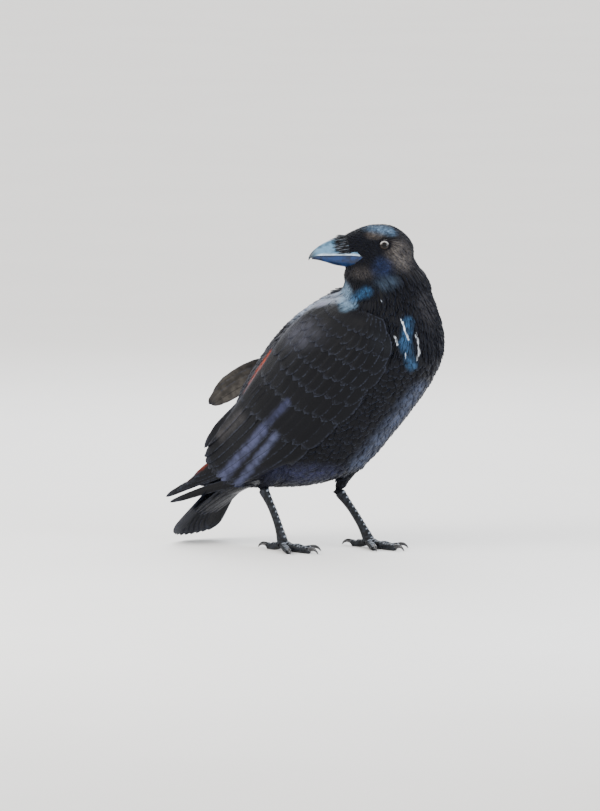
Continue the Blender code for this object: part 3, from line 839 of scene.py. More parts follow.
def build_coat_tree():
    tree, given = new_tree("feather_coat", COAT_INPUTS)
    points = scattered(tree, given, 11, {"Density Factor": named(tree, given["Zone"])})
    swing = given["Swing"]
    yaw = random_value(tree, math_node(tree, "MULTIPLY", swing, -1.0), swing, 23)
    facing = facing_along(tree, "out", "lie", "ZX", {"Z": yaw})
    growth = math_node(tree, "MULTIPLY", named(tree, "growth"),
                       random_value(tree, 0.82, 1.16, 37))
    size = add_node(tree, "ShaderNodeCombineXYZ", {
        "X": math_node(tree, "MULTIPLY", given["Length"], growth),
        "Y": math_node(tree, "MULTIPLY", given["Width"], growth),
        "Z": 0.004,
    }).outputs[0]
    join = add_node(tree, "GeometryNodeJoinGeometry")
    for name in ("Feather", "Worn Feather"):
        shape = add_node(tree, "GeometryNodeObjectInfo", {"Object": given[name]})
        single = add_node(tree, "GeometryNodeGeometryToInstance",
                          {0: shape.outputs["Geometry"]}).outputs[0]
        tree.links.new(single, join.inputs[0])
    planted = add_node(
        tree, "GeometryNodeInstanceOnPoints",
        {"Points": points, "Instance": join.outputs[0], "Pick Instance": True,
         "Instance Index": random_value(tree, 0, 1, 51, "INT"),
         "Rotation": facing, "Scale": size},
    ).outputs[0]
    feathers = add_node(tree, "GeometryNodeRealizeInstances", {"Geometry": planted}).outputs[0]
    nearest = add_node(tree, "GeometryNodeProximity", {0: given["Geometry"]},
                       target_element="FACES")
    outside = add_node(tree, "GeometryNodeSampleNearestSurface", {"Mesh": given["Geometry"]},
                       data_type="FLOAT_VECTOR")
    tree.links.new(named(tree, "out", "FLOAT_VECTOR"), live(outside.inputs, "Value"))
    away = vector_node(tree, "NORMALIZE", live(outside.outputs, "Value"))
    loose = math_node(tree, "MINIMUM", nearest.outputs["Distance"], 0.012)
    loose = math_node(tree, "MULTIPLY", loose, given["Looseness"])
    lift = math_node(tree, "MULTIPLY", named(tree, "height"), given["Rise"])
    lift = math_node(tree, "ADD", lift, loose)
    place = vector_node(tree, "ADD", nearest.outputs["Position"], vector_times(tree, away, lift))
    laid = add_node(tree, "GeometryNodeSetPosition",
                    {"Geometry": feathers, "Position": place}).outputs[0]
    return finish_tree(tree, given, laid)


coat_tree = build_coat_tree()
print("coat tree nodes:", len(coat_tree.nodes))


# %% Grow the coat, zone by zone
WORKING_FIELDS = ("root_uv", "height", "lie", "out", "growth")  # of no use once grown


def grown(tree, mesh, name, inputs):
    """Runs a tree on a mesh and returns the result as a plain mesh."""
    carrier = bpy.data.objects.new(name, mesh)
    scene.collection.objects.link(carrier)
    modifier = carrier.modifiers.new(tree.name, "NODES")
    modifier.node_group = tree
    for item in tree.interface.items_tree:
        if item.item_type == "SOCKET" and item.in_out == "INPUT" and item.name in inputs:
            modifier[item.identifier] = inputs[item.name]
    graph = bpy.context.evaluated_depsgraph_get()
    result = bpy.data.meshes.new_from_object(carrier.evaluated_get(graph))
    carrier.modifiers.remove(modifier)
    bpy.data.objects.remove(carrier)
    spent = [a.name for a in result.attributes
             if a.name in WORKING_FIELDS or a.name.startswith("zone_")]
    for field in spent:
        result.attributes.remove(result.attributes[field])
    result.name = name
    return result


def triangles(mesh):
    return sum(len(p.vertices) - 2 for p in mesh.polygons)


COATS = {  # spacing, length, width, rise, looseness, swing, feather, material (mm and radians)
    "face": (1.5, 6.5, 3.4, 0.9, 0.10, 0.16, "scale", face_feather),
    "crown": (1.9, 9.5, 4.4, 1.3, 0.12, 0.14, "scale", face_feather),
    "throat": (3.1, 22.0, 5.8, 2.8, 0.30, 0.17, "lance", body_feather),
    "mantle": (4.5, 25.0, 13.0, 2.8, 0.15, 0.13, "round", body_feather),
    "breast": (4.5, 25.0, 11.5, 3.0, 0.20, 0.15, "round", body_feather),
    "belly": (4.3, 26.0, 10.5, 3.0, 0.22, 0.17, "round", body_feather),
    "thighs": (3.1, 17.0, 6.6, 2.2, 0.22, 0.18, "lance", body_feather),
}
body_pieces = [skin]
for number, (label, settings) in enumerate(COATS.items()):
    spacing, length, width, rise, looseness, swing, shape, material = settings
    mesh = grown(coat_tree, skin_mesh, f"coat_{label}", {
        "Zone": f"zone_{label}", "Spacing": spacing * MM, "Length": length * MM,
        "Width": width * MM, "Rise": rise * MM, "Looseness": looseness, "Swing": swing,
        "Seed": 40 + number, "Feather": templates[shape],
        "Worn Feather": templates[shape + "_worn"], "Material": material,
    })
    body_pieces.append(make_piece(f"coat_{label}", mesh, material))
    print(mesh.name, triangles(mesh), "triangles", [a.name for a in mesh.attributes][-4:])

# %% [markdown]
# ## Long vanes: how a flight feather is made
#
# The wing rows, the long flight feathers and the tail are few and large, and each has its own
# place and length, so each is drawn straight in mesh code: a middle line on a flat map, a half
# width on each side, and a surface that turns the flat map into a place in space at any height.
# The top has a raised shaft down its middle. Each vane is closed, with a thin edge.

# %% The vane builder
CELL_FILL = 0.94  # share of its cell of the baking map that a vane fills


def new_sheaf():
    return {"verts": [], "faces": [], "vane": [], "bake": [], "shade": []}


def add_vane(sheaf, surface, line, halves, lift, cell, rows=12, columns=6, thick=0.5,
             camber=0.5, tilt=0.0, worn=0.0, seed=0):
    """A closed vane. halves(t) gives both half widths and lift(t) the height, in mm."""
    first = len(sheaf["verts"])
    shade = 0.5 + 0.5 * noise.noise(Vector((seed * 1.71, cell[0] * 9.3, cell[1] * 7.7)))
    shares = [i / columns for i in range(columns + 1)]
    ring = [(s, 1) for s in shares] + [(s, -1) for s in shares[-2:0:-1]]
    flat = []
    for k in range(rows + 1):
        t = 1 - (1 - k / rows) ** 1.25
        a, b = line(t)
        c, d = line(min(t + 0.01, 1.0)) if t < 0.995 else line(t - 0.01)
        run = Vector((c - a, d - b)) * (1 if t < 0.995 else -1)
        side = Vector((-run.y, run.x)).normalized()
        near, far = halves(t)
        for s, face in ring:
            v = 2 * s - 1
            reach = v * (far if v > 0 else near)
            ragged = 0.0
            if abs(v) == 1 and worn:
                ragged = worn * noise.noise(Vector((t * 21, v * 3, seed * 5.3)))
            spot = Vector((a, b)) + side * (reach + ragged)
            spot -= run.normalized() * (abs(v) ** 1.7 * near * 0.35 * (1 - t * 0.4))
            height = lift(t) + camber * (1 - v * v) + tilt * v
            if face < 0:
                height -= thick
            elif abs(v) < 0.02:
                height += 0.5 * (1 - t) + 0.15
            sheaf["verts"].append(Vector(surface(spot.x, spot.y, height)) * MM)
            flat.append((t, s))
            sheaf["shade"].append(min(max(shade, 0.0), 1.0))
    count = len(ring)
    faces = []
    for k in range(rows):
        p, q = first + k * count, first + (k + 1) * count
        for i in range(count):
            j = (i + 1) % count
            faces.append((p + i, q + i, q + j, p + j))
    last = first + rows * count
    for low in (first, last):
        turn = 1 if low == first else -1
        for i in range(columns):
            j, k = (count - i) % count, (count - i - 1) % count
            corners = [low + i, low + i + 1, low + k, low + j]
            if i == 0:
                corners = [low, low + 1, low + count - 1]
            if i == columns - 1:
                corners = [low + i, low + i + 1, low + j]
            faces.append(tuple(corners[::turn]))
    sheaf["faces"] += faces
    sheaf["vane"] += flat
    sheaf["bake"] += [(cell[0] + t * CELL_FILL, cell[1] + s * CELL_FILL) for t, s in flat]


def sheaf_mesh(name, sheaf, grid_size):
    """Joins the vanes; each one's cell on the baking map is its own square of the grid."""
    mesh = bpy.data.meshes.new(name)
    mesh.from_pydata(sheaf["verts"], [], sheaf["faces"])
    bm = bmesh.new()
    bm.from_mesh(mesh)
    bm.verts.ensure_lookup_table()
    bmesh.ops.recalc_face_normals(bm, faces=bm.faces)
    bm.to_mesh(mesh)
    bm.free()
    for label, values, divide in (("OFBake", sheaf["bake"], grid_size), ("vane", sheaf["vane"], 1)):
        layer = mesh.uv_layers.new(name=label)
        for loop in mesh.loops:
            u, v = values[loop.vertex_index]
            layer.data[loop.index].uv = (u / divide, v / divide)
    store_field(mesh, "shade", sheaf["shade"])
    return mesh


def sheaf_piece(name, sheaf, grid_size):
    return make_piece(name, sheaf_mesh(name, sheaf, grid_size), wing_feather, 50)


def cells(size):
    """The squares of the baking grid, one after another."""
    for k in range(size * size):
        yield (k % size, k // size)


def vane_halves(near, far, blunt=2.2, stem=0.25, shoulder=0.55):
    """Half widths of a long vane: narrow at the stem, even, and rounded at the tip."""
    def halves(t):
        rise = stem + (1 - stem) * smooth_step(0.0, 0.35, t)
        end = max(1 - (max(t - shoulder, 0) / (1 - shoulder)) ** blunt, 0.0) ** 0.6
        return near * rise * end + 0.15, far * rise * end + 0.15
    return halves


# %% [markdown]
# ## The folded wing
#
# From the side a raven's folded wing shows, from the shoulder back: rows of small coverts that
# grow row by row, a row of long greater coverts, nine broad secondaries and tertials stepped
# like a fan, and the long primaries that make the blade beside the tail. Every row lies over
# the next one's roots. The vanes are drawn on the rails' flat map, and a ray cast from the side
# finds how far out the melted form of trunk and wing lies there.

# %% Where the wing's surface is
BLADE_X, BLADE_SIDE, BLADE_TIP_SIDE, BLADE_RUN = -62, 44, 22, -120


def blade_side(x):
    share = min(max((x - BLADE_X) / BLADE_RUN, 0.0), 1.3)
    return BLADE_SIDE + (BLADE_TIP_SIDE - BLADE_SIDE) * share


def side_hit(form, x, z, side):
    hit = form.ray_cast(Vector((x, side * 200, z)) * MM, Vector((0, -side, 0)))[0]
    return max(hit.y * side / MM, 0.0) if hit else 0.0


def soft_max(a, b, blur=8.0):
    return 0.5 * (a + b + math.sqrt((a - b) ** 2 + blur * blur))


def wing_surface(side):
    """Wing rows lie on the melted form of the covert and secondary solids."""
    seen = {}

    def depth(x, z):
        key = (round(x), round(z))
        if key not in seen:
            hits = [side_hit(wing_form, x + i, z + k, side)
                    for i, k in ((0, 0), (4, 0), (-4, 0), (0, 4), (0, -4))]
            seen[key] = max(sum(hits) / 5, hits[0] if hits[0] else 0.0)
            seen[key] = soft_max(seen[key], blade_side(x), 4.0) if x < BLADE_X else seen[key]
        return seen[key]

    def surface(x, z, height):
        i, k = math.floor(x), math.floor(z)
        f, g = x - i, z - k
        low = depth(i, k) * (1 - f) + depth(i + 1, k) * f
        high = depth(i, k + 1) * (1 - f) + depth(i + 1, k + 1) * f
        return x, side * (low * (1 - g) + high * g + height), z

    return surface


def primary_surface(side):
    def surface(x, z, height):
        inner = side_hit(trunk_form, x, z, side)
        return x, side * (soft_max(inner, blade_side(x)) + height), z
    return surface


# %% Wing rows and blades
COVERT_ROWS = [  # share at the roots, reach in share, feathers, width, height over the form
    (-0.015, 0.13, 12, 8.5, 1.6), (0.055, 0.13, 12, 9.0, 1.4), (0.12, 0.13, 12, 9.5, 1.2),
    (0.185, 0.135, 12, 10.0, 1.0), (0.25, 0.14, 11, 10.5, 0.8), (0.32, 0.15, 11, 11.0, 0.5),
    (0.40, 0.215, 10, 11.5, 0.1),
]
SECONDARY_TIPS = [0.94, 0.97, 0.99, 1.0, 1.0, 0.995, 0.985, 0.975, 0.955]
PRIMARY_TIPS = [0.72, 0.80, 0.88, 1.0, 0.975]
PRIMARY_ENDS = [0.22, 0.30, 0.34, 0.30, 0.78]  # where each tip lies across the blade
RIGHT_BLADE = ([(-22, 140), (-82, 125), (-136, 94), (-181, 62)],
               [(32, 124), (-32, 86), (-106, 66), (-175, 46)])
LEFT_BLADE = ([(-22, 142), (-74, 119), (-120, 93), (-160, 70)],
              [(32, 126), (-32, 90), (-98, 74), (-159, 65)])


def folded_wing(label, side, blade):
    surface, sheaf, spots = wing_surface(side), new_sheaf(), cells(16)
    seed = 3 if side > 0 else 71
    for number, (root, reach, count, width, level) in enumerate(COVERT_ROWS):
        for i in range(count):
            seed += 1
            q = (i + 0.5 + 0.25 * (number % 2)) / (count + 0.25)
            slip = 0.012 * noise.noise(Vector((seed * 0.7, 3.1, side)))
            start, end = root + slip, root + reach + slip * 2
            bend = 0.02 * math.sin(math.pi * q)

            def line(t, start=start, end=end, q=q, bend=bend):
                share = start + (end - start) * t + bend * t
                return on_wing(max(share, 0.0), q + 0.012 * t)

            wide = width * (0.85 + 0.3 * math.sin(math.pi * q)) * 0.92
            add_vane(sheaf, surface, line, vane_halves(wide, wide, 2.4, 0.45),
                     lambda t, level=level: level - 2.2 + 1.9 * t ** 0.8, next(spots),
                     rows=9, columns=6, tilt=0.45, worn=0.35, seed=seed)
    last = len(SECONDARY_TIPS) - 1
    for i, tip in enumerate(SECONDARY_TIPS):
        seed += 1
        root_q, tip_q = 0.12 + 0.78 * i / last, 0.035 + 0.915 * i / last

        def line(t, tip=tip, root_q=root_q, tip_q=tip_q):
            share = 0.50 + (tip - 0.50) * t
            return on_wing(share, root_q + (tip_q - root_q) * t ** 0.8)

        add_vane(sheaf, surface, line, vane_halves(9.5, 9.0, 3.0, 0.6),
                 lambda t, i=i: -0.9 - 0.28 * i + 1.0 * t + 2.4 * t**4, next(spots),
                 rows=20, columns=8, thick=0.6, camber=0.7, tilt=0.9, worn=0.5, seed=seed)
    feathers = sheaf_piece(f"wing_feathers_{label}", sheaf, 16)
    surface, sheaf, spots = primary_surface(side), new_sheaf(), cells(4)
    for i, tip in enumerate(PRIMARY_TIPS):
        seed += 1
        q0, q1 = 0.15 + 0.7 * i / (len(PRIMARY_TIPS) - 1), PRIMARY_ENDS[i]

        def line(t, tip=tip, q0=q0, q1=q1):
            return on_wing(0.02 + (tip - 0.02) * t, q0 + (q1 - q0) * t, blade)

        add_vane(sheaf, surface, line, vane_halves(8.0 - 0.6 * i, 7.0 - 0.5 * i, 2.2, 0.8),
                 lambda t, i=i: 1.2 - 0.55 * i + 0.3 * t, next(spots),
                 rows=26, columns=8, thick=0.6, camber=0.5, tilt=0.4, worn=0.4, seed=seed)
    blades = sheaf_piece(f"wing_blade_{label}", sheaf, 4)
    print(label, "wing:", triangles(feathers.data) + triangles(blades.data), "triangles")
    return feathers, blades


wings = {"left": folded_wing("left", 1, LEFT_BLADE), "right": folded_wing("right", -1, RIGHT_BLADE)}


# %% The loose tertials that stand off behind the back
LOOSE = ([(-54, 229), (-86, 219), (-116, 200), (-139, 175)],
         [(-74, 199), (-94, 190), (-116, 176), (-135, 164)])


def loose_surface(x, z, height):
    share = min(max((-54 - x) / 85, 0.0), 1.0)
    return x, 36 - 26 * share + height, z


sheaf, spots = new_sheaf(), cells(2)
for i, (tip, q0, q1) in enumerate([(0.90, 0.20, 0.22), (1.0, 0.52, 0.50), (0.93, 0.84, 0.80)]):
    def line(t, tip=tip, q0=q0, q1=q1):
        return on_wing(tip * t, q0 + (q1 - q0) * t, LOOSE)

    add_vane(sheaf, loose_surface, line, vane_halves(9.5, 8.5, 2.6, 0.7),
             lambda t, i=i: 1.6 - 1.1 * i + 0.6 * math.sin(3 * t), next(spots),
             rows=18, columns=8, thick=0.6, camber=0.9, tilt=0.3, worn=0.7, seed=200 + i)
loose_tertials = sheaf_piece("loose_tertials", sheaf, 2)
print("loose tertials:", triangles(loose_tertials.data), "triangles")

# %% [markdown]
# ## The tail
#
# A raven's tail is a wedge of twelve stiff feathers, the longest in the middle. They lie in a
# shallow arch, each outer one tucked under its neighbour, with rows of short coverts over and
# under their roots. The tail's flat map runs down its middle line and across its slight twist.

# %% Tail feathers
TAIL_ROOT, TAIL_TIP, TAIL_TWIST = Vector((-98, 0, 95)), Vector((-172, 0, 5.8)), math.radians(11)
TAIL_LINE = (TAIL_TIP - TAIL_ROOT).normalized()
TAIL_LONG = (TAIL_TIP - TAIL_ROOT).length
FLAT_DOWN = Vector((-TAIL_LINE.z, 0, TAIL_LINE.x))
TAIL_ACROSS = Vector((0, math.cos(TAIL_TWIST), 0)) + FLAT_DOWN * math.sin(TAIL_TWIST)
TAIL_UNDER = TAIL_LINE.cross(TAIL_ACROSS)
if TAIL_UNDER.z > 0:
    TAIL_UNDER = -TAIL_UNDER
TAIL_HALF = [(0, 13), (0.18, 21), (0.40, 31), (0.65, 42), (0.80, 45), (0.91, 39), (1.0, 21)]


def fan_share(i, count):
    """-1 at one edge of a row of feathers, 0 in the middle and 1 at the other edge."""
    return (i - (count - 1) / 2) / ((count - 1) / 2)


def tail_half(share):
    for (low, a), (high, b) in zip(TAIL_HALF, TAIL_HALF[1:]):
        if share <= high:
            return a + (b - a) * (share - low) / (high - low)
    return TAIL_HALF[-1][1]


def tail_surface(run, wide, height):
    share = run / TAIL_LONG
    q = wide / max(tail_half(min(max(share, 0), 0.8)), 1)
    arch = 6 * min(q * q, 1.4) * min(1, 1.5 * max(share, 0))
    place = TAIL_ROOT + TAIL_LINE * run + TAIL_ACROSS * wide + TAIL_UNDER * (arch - height)
    return place.x, place.y, max(place.z, 0.15)


sheaf, spots = new_sheaf(), cells(8)
for i in range(12):
    fan = fan_share(i, 12)
    tip = TAIL_LONG * (1.0 - 0.155 * abs(fan) ** 1.6)

    def line(t, fan=fan, tip=tip):
        run = tip * t
        return run, fan * (10 + 32 * (run / TAIL_LONG) ** 0.9)

    add_vane(sheaf, tail_surface, line, vane_halves(12.0, 12.0, 2.2, 0.45, 0.84),
             lambda t, fan=fan: 2.0 - 4.6 * abs(fan) + 0.4 * t, next(spots),
             rows=34, columns=8, thick=0.6, camber=0.4, tilt=-0.3 if fan > 0 else 0.3,
             worn=0.3, seed=300 + i)
for level, count, reach, start, height, flip in [
    (0, 7, 0.34, -0.05, 3.4, 1), (1, 7, 0.30, 0.06, 3.0, 1),
    (2, 7, 0.42, -0.08, -4.4, -1), (3, 6, 0.36, 0.06, -3.9, -1),
]:
    for i in range(count):
        fan = fan_share(i, count)

        def line(t, fan=fan, start=start, reach=reach):
            run = TAIL_LONG * (start + reach * (1.1 - 0.2 * abs(fan)) * t)
            return run, fan * (8 + 18 * max(run, 0) / TAIL_LONG)

        add_vane(sheaf, tail_surface, line, vane_halves(7.5, 7.5, 2.2, 0.5),
                 lambda t, height=height, flip=flip: height * (0.75 + 0.25 * t) + flip * 0.4 * t,
                 next(spots), rows=10, columns=6, thick=0.6, camber=0.5 * flip, worn=0.5,
                 seed=340 + level * 20 + i)
for row, (start, stop, count) in enumerate([(-4, 60, 7), (14, 76, 6)]):
    for i in range(count):
        fan = fan_share(i, count)

        def line(t, fan=fan, start=start, stop=stop):
            run = start + (stop - start) * (1 - 0.12 * abs(fan)) * t
            return run, fan * (13 + 14 * max(run, 0) / TAIL_LONG)

        add_vane(sheaf, tail_surface, line, vane_halves(8.5, 8.5, 2.2, 0.7),
                 lambda t, row=row, fan=fan: -5 - (30 - 11 * row - 7 * fan * fan) * (1 - t) ** 1.1,
                 next(spots), rows=14, columns=6, thick=0.6, camber=-0.8, worn=0.5,
                 seed=420 + row * 20 + i)
tail_feathers = sheaf_piece("tail_feathers", sheaf, 8)
print("tail:", triangles(tail_feathers.data), "triangles")

# %% [markdown]
# ## The bill
#
# The bill is a heavy horn wedge: the upper half has a ridge that curves down to a small hook,
# and the lower half closes against it along a thin gape line. Both are lofts through the same
# rings as the measured solids, with many more points, so that they are smooth. The horn is
# dark slate, and its blue, light in soft clouds over the upper half and deep over the lower, is
# a painted reflection of the gloss along it; the upper half's thin edge along the gape carries
# a pale painted highlight.

# %% Bill lofts
BILL_STEPS = 24  # over the outside of one half, from side to side
UPPER_BILL = [  # ahead, height of the ridge, height of the gape, half width
    (23, 3.0, -13.6, 18.6), (34, 7.5, -12.4, 17.3), (44, 10.6, -11.8, 14.2),
    (58, 7.8, -11.8, 10.8), (68, 4.0, -11.9, 8.9), (77, -0.8, -12.2, 6.8),
    (84, -6.2, -13.2, 4.5), (88.5, -11.2, -15.6, 2.5), (90.5, -15.2, -18.4, 1.0),
]
LOWER_BILL = [
    (23, -26.5, -13.9, 19.4), (34, -28.2, -12.7, 18.4), (44, -26.8, -12.2, 14.1),
    (58, -24.2, -12.2, 9.9), (68, -21.0, -12.3, 8.0), (77, -18.4, -12.6, 5.8),
    (83, -17.2, -13.6, 3.4), (86.5, -16.8, -14.9, 1.3),
]


def in_head(ahead, across, up):
    return tuple(HEAD + AHEAD * ahead + ASIDE * across + UP * up)


def bill_rings(rows, lip):
    rings = []
    for ahead, outer, mouth, wide in refined(rows, 7):
        ring = []
        for k in range(BILL_STEPS + 1):
            t = math.pi * k / BILL_STEPS
            swell = 1 + lip * math.exp(-((math.sin(t) / 0.16) ** 2))
            reach = wide * math.copysign(abs(math.cos(t)) ** 0.8, math.cos(t)) * swell
            ridge = 0.35 * math.exp(-(((t - math.pi / 2) / 0.22) ** 2))
            top = mouth + (outer - mouth) * math.sin(t)
            ring.append(in_head(ahead, reach, top + math.copysign(ridge, outer - mouth)))
        ring += [in_head(ahead, wide * s, mouth) for s in (-0.6, -0.2, 0.2, 0.6)]
        rings.append(ring)
    return rings


def store_gape(mesh, rows):
    """1 on the thin edge where the halves of the bill meet, and 0 away from it."""
    gape, hook = [], []
    fine = refined(rows, 12)
    for v in mesh.vertices:
        offset = v.co / MM - HEAD
        ahead, up = offset.dot(AHEAD), offset.z
        mouth = min(fine, key=lambda row: abs(row[0] - ahead))[2]
        edge = 1 - smooth_step(0.5, 2.6, abs(up - mouth))
        gape.append(edge * (1 - smooth_step(76, 85, ahead)))
        hook.append(smooth_step(78, 89, ahead))
    store_field(mesh, "gape", gape)
    store_field(mesh, "hook", hook)


def horn_material(name, dark, light, pale, rough, coat):
    material, tree, shader = new_material(name)
    place = object_place(tree)
    grain = noise_at(tree, vector_node(tree, "MULTIPLY", place, (260, 260, 1100)), 1.0, 4.0)
    cloud = noise_at(tree, place, 90.0, 4.0)
    mask = math_node(tree, "ADD", map_range(tree, cloud, 0.38, 0.62, 0, 0.7),
                     map_range(tree, grain, 0.45, 0.7, 0, 0.3))
    colour = mix_colour(tree, mask, dark, light)
    # painted highlight: colour along the thin edge of the gape, pale on the upper half
    edge = math_node(tree, "MULTIPLY", stored(tree, "gape"),
                     map_range(tree, grain, 0.3, 0.55, 0.35, 0.95))
    colour = mix_colour(tree, edge, colour, pale)
    hook = math_node(tree, "MULTIPLY", stored(tree, "hook"), 0.92)
    set_inputs(tree, shader, {
        "Base Color": mix_colour(tree, hook, colour, (0.004, 0.007, 0.012, 1)),
        "Normal": bump(tree, grain, 0.25, 0.00025),
        "Roughness": map_range(tree, cloud, 0.3, 0.7, rough - 0.08, rough + 0.08),
        "Specular IOR Level": 0.28, "Coat Weight": coat, "Coat Roughness": 0.14})
    return material


# painted reflection: the blue of both halves stands for the gloss on the horn
upper_horn = horn_material("upper_horn", (0.018, 0.055, 0.095, 1), (0.105, 0.215, 0.320, 1),
                           (0.56, 0.65, 0.74, 1), 0.36, 0.12)
lower_horn = horn_material("lower_horn", (0.002, 0.007, 0.024, 1), (0.004, 0.030, 0.115, 1),
                           (0.004, 0.010, 0.026, 1), 0.36, 0.05)
upper_mesh = rings_to_mesh("bill_top", bill_rings(UPPER_BILL, 0.05))
store_gape(upper_mesh, UPPER_BILL)
lower_mesh = rings_to_mesh("bill_bottom", bill_rings(LOWER_BILL, 0.03))
store_gape(lower_mesh, LOWER_BILL)
bill_top = make_piece("bill_top", upper_mesh, upper_horn, 60)
bill_bottom = make_piece("bill_bottom", lower_mesh, lower_horn, 60)
print("bill:", triangles(upper_mesh) + triangles(lower_mesh), "triangles")

# %% [markdown]
# ## The eyes
#
# The eye is a dark brown globe with a black pupil, wet all over. A stored number on each point
# says how far it lies from the way the eye looks, and the material turns that into pupil, iris
# and rim; the upper half of the rim is pale grey, a painted highlight. A thin ring of dark skin,
# the lid, closes the gap between the globe and the feathers.

# %% Eyes and lids
LID_STEPS, LID_SIDES = 48, 10


def eye_axis(label):
    turn = 1 if label == "left" else -1
    return (ASIDE * turn + AHEAD * 0.22 + UP * 0.05).normalized()


eye_material, tree, shader = new_material("eye_wet")
gaze, place = stored(tree, "gaze"), object_place(tree)
iris = mix_colour(tree, map_range(tree, noise_at(tree, place, 900.0), 0.35, 0.65),
                  (0.006, 0.004, 0.003, 1), (0.026, 0.014, 0.008, 1))
# painted highlight: the rim round the iris is pale grey on its upper half and dark below
height = add_node(tree, "ShaderNodeSeparateXYZ", {0: place}).outputs["Z"]
upper = map_range(tree, height, 0.3775, 0.3805)
ring = mix_colour(tree, upper, (0.012, 0.010, 0.009, 1), (0.300, 0.290, 0.275, 1))
iris = mix_colour(tree, map_range(tree, gaze, 0.52, 0.60), iris, ring)
iris = mix_colour(tree, map_range(tree, gaze, 0.48, 0.42), iris, (0.0005, 0.0005, 0.0005, 1))
set_inputs(tree, shader, {
    "Base Color": iris, "Roughness": 0.06, "Specular IOR Level": 0.16,
    "Coat Weight": 0.04, "Coat Roughness": 0.02})
lid_material = plain_material("eyelid_skin", (0.002, 0.002, 0.003), 0.62, 700.0, 2.0, 0.1)
lid_material.node_tree.nodes["Principled BSDF"].inputs["Specular IOR Level"].default_value = 0.06
eye_pieces, lid_pieces = {}, {}
for label, centre in EYES.items():
    axis = eye_axis(label)
    bm = bmesh.new()
    bmesh.ops.create_uvsphere(bm, u_segments=48, v_segments=24, radius=EYE_RADIUS * MM)
    for v in bm.verts:
        v.co += centre * MM
    mesh = mesh_from(bm, f"eyeball_{label}")
    store_field(mesh, "gaze", [(v.co / MM - centre).angle(axis) for v in mesh.vertices])
    eye_pieces[label] = make_piece(f"eyeball_{label}", mesh, eye_material)
    side = axis.cross(UP).normalized()
    rise = side.cross(axis).normalized()
    rings = []
    for k in range(LID_STEPS):
        a = 2 * math.pi * k / LID_STEPS
        out = side * math.cos(a) * 1.06 + rise * math.sin(a) * 0.95
        ridge = 0.07 * math.sin(a * 12)
        middle = centre + axis * (EYE_RADIUS * 0.60) + out * (EYE_RADIUS * 0.85 + ridge)
        rings.append([tuple(middle + (out * math.cos(b) + axis * math.sin(b)) * (1.12 + ridge))
                      for b in (2 * math.pi * i / LID_SIDES for i in range(LID_SIDES))])
    bm = bmesh.new()
    rows = [[bm.verts.new(Vector(p) * MM) for p in ring] for ring in rings]
    for k in range(LID_STEPS):
        here, after = rows[k], rows[(k + 1) % LID_STEPS]
        for i in range(LID_SIDES):
            j = (i + 1) % LID_SIDES
            bm.faces.new((here[i], here[j], after[j], after[i]))
    bmesh.ops.recalc_face_normals(bm, faces=bm.faces)
    lid_pieces[label] = make_piece(f"eyelid_{label}", mesh_from(bm, f"eyelid_{label}"),
                                   lid_material)
print("eyes and lids made, lid ring about", round(EYE_RADIUS * 1.56, 1), "mm across")

# %% [markdown]
# ## Legs, toes and claws
#
# The bare leg is a rod of horn scale: broad overlapping plates, the scutes, run down its front
# and over each toe, and the back and soles are finely grained. The rod and toes are lofts with
# the scutes raised on them as steps, each step thick at its lower edge. The soles have pads
# between the joints and are cut flat where they stand. The claws are curved black horn.

# %% Tubes through a path
LEGS = {
    "left": {"foot": (67, 36), "heel": (26, 38, 67),
             "toes": {"inner": -54, "middle": -20, "outer": 12, "hind": 162}},
    "right": {"foot": (-15, -36), "heel": (-41, -38, 75),
              "toes": {"inner": 14, "middle": -20, "outer": -54, "hind": 158}},
}
FOOT_HEIGHT = 9.5
SHANK_STEPS, TOE_STEPS, CLAW_STEPS = 132, 72, 30
SHANK_SCUTES = 11
TARSUS_RADII = [(6.6,), (4.9,), (4.7,), (5.2,), (7.0,)]
TOE_SIZES = {  # length, radius at the root and at the end, claw length and radius
    "middle": (46, 5.3, 3.9, 17, 2.8), "inner": (34, 5.0, 3.9, 16, 2.7),
    "outer": (37, 4.9, 3.7, 15, 2.6), "hind": (27, 5.0, 4.1, 20, 3.0),
}


def tube_rings(places_on, radii, count=28, flat=1.0, relief=None):
    """Rings round a path; relief(share, angle) raises the surface, angle 0 is the upper side."""
    rings = []
    for k, (middle, radius) in enumerate(zip(places_on, radii)):
        before, after = places_on[max(k - 1, 0)], places_on[min(k + 1, len(places_on) - 1)]
        run = (Vector(after) - Vector(before)).normalized()
        reference = Vector((1, 0, 0)) if abs(run.z) > 0.8 else UP
        top = (reference - run * reference.dot(run)).normalized()
        side = run.cross(top)
        ring = []
        for i in range(count):
            a = 2 * math.pi * i / count
            reach = radius + (relief(k / (len(places_on) - 1), a) if relief else 0)
            ring.append(tuple(Vector(middle) + top * math.cos(a) * reach
                              + side * math.sin(a) * reach * flat))
        rings.append(ring)
    return rings


def scutes(number, depth):
    """Steps down the front, each one thick at its lower edge, with grain on the back."""
    def relief(share, angle):
        step = (share * number) % 1.0
        front = smooth_step(-0.25, 0.35, math.cos(angle))
        plate = depth * (step ** 1.6) * (1 - smooth_step(0.88, 1.0, step)) * front
        groove = -0.35 * depth * math.exp(-((math.sin(angle * 0.5 + 0.78) / 0.10) ** 2))
        grain = 0.12 * noise.noise(Vector((share * number * 3, math.cos(angle) * 4,
                                           math.sin(angle) * 4))) * (1 - front)
        return plate + groove * (1 - front) + grain
    return relief


scale_material, tree, shader = new_material("leg_scale")
place = object_place(tree)
cloud = noise_at(tree, place, 240.0, 4.0)
plates = add_node(tree, "ShaderNodeTexVoronoi", {"Vector": place, "Scale": 620.0},
                  feature="DISTANCE_TO_EDGE").outputs["Distance"]
colour = mix_colour(tree, map_range(tree, cloud, 0.38, 0.64),
                    (0.003, 0.0035, 0.0045, 1), (0.014, 0.016, 0.021, 1))
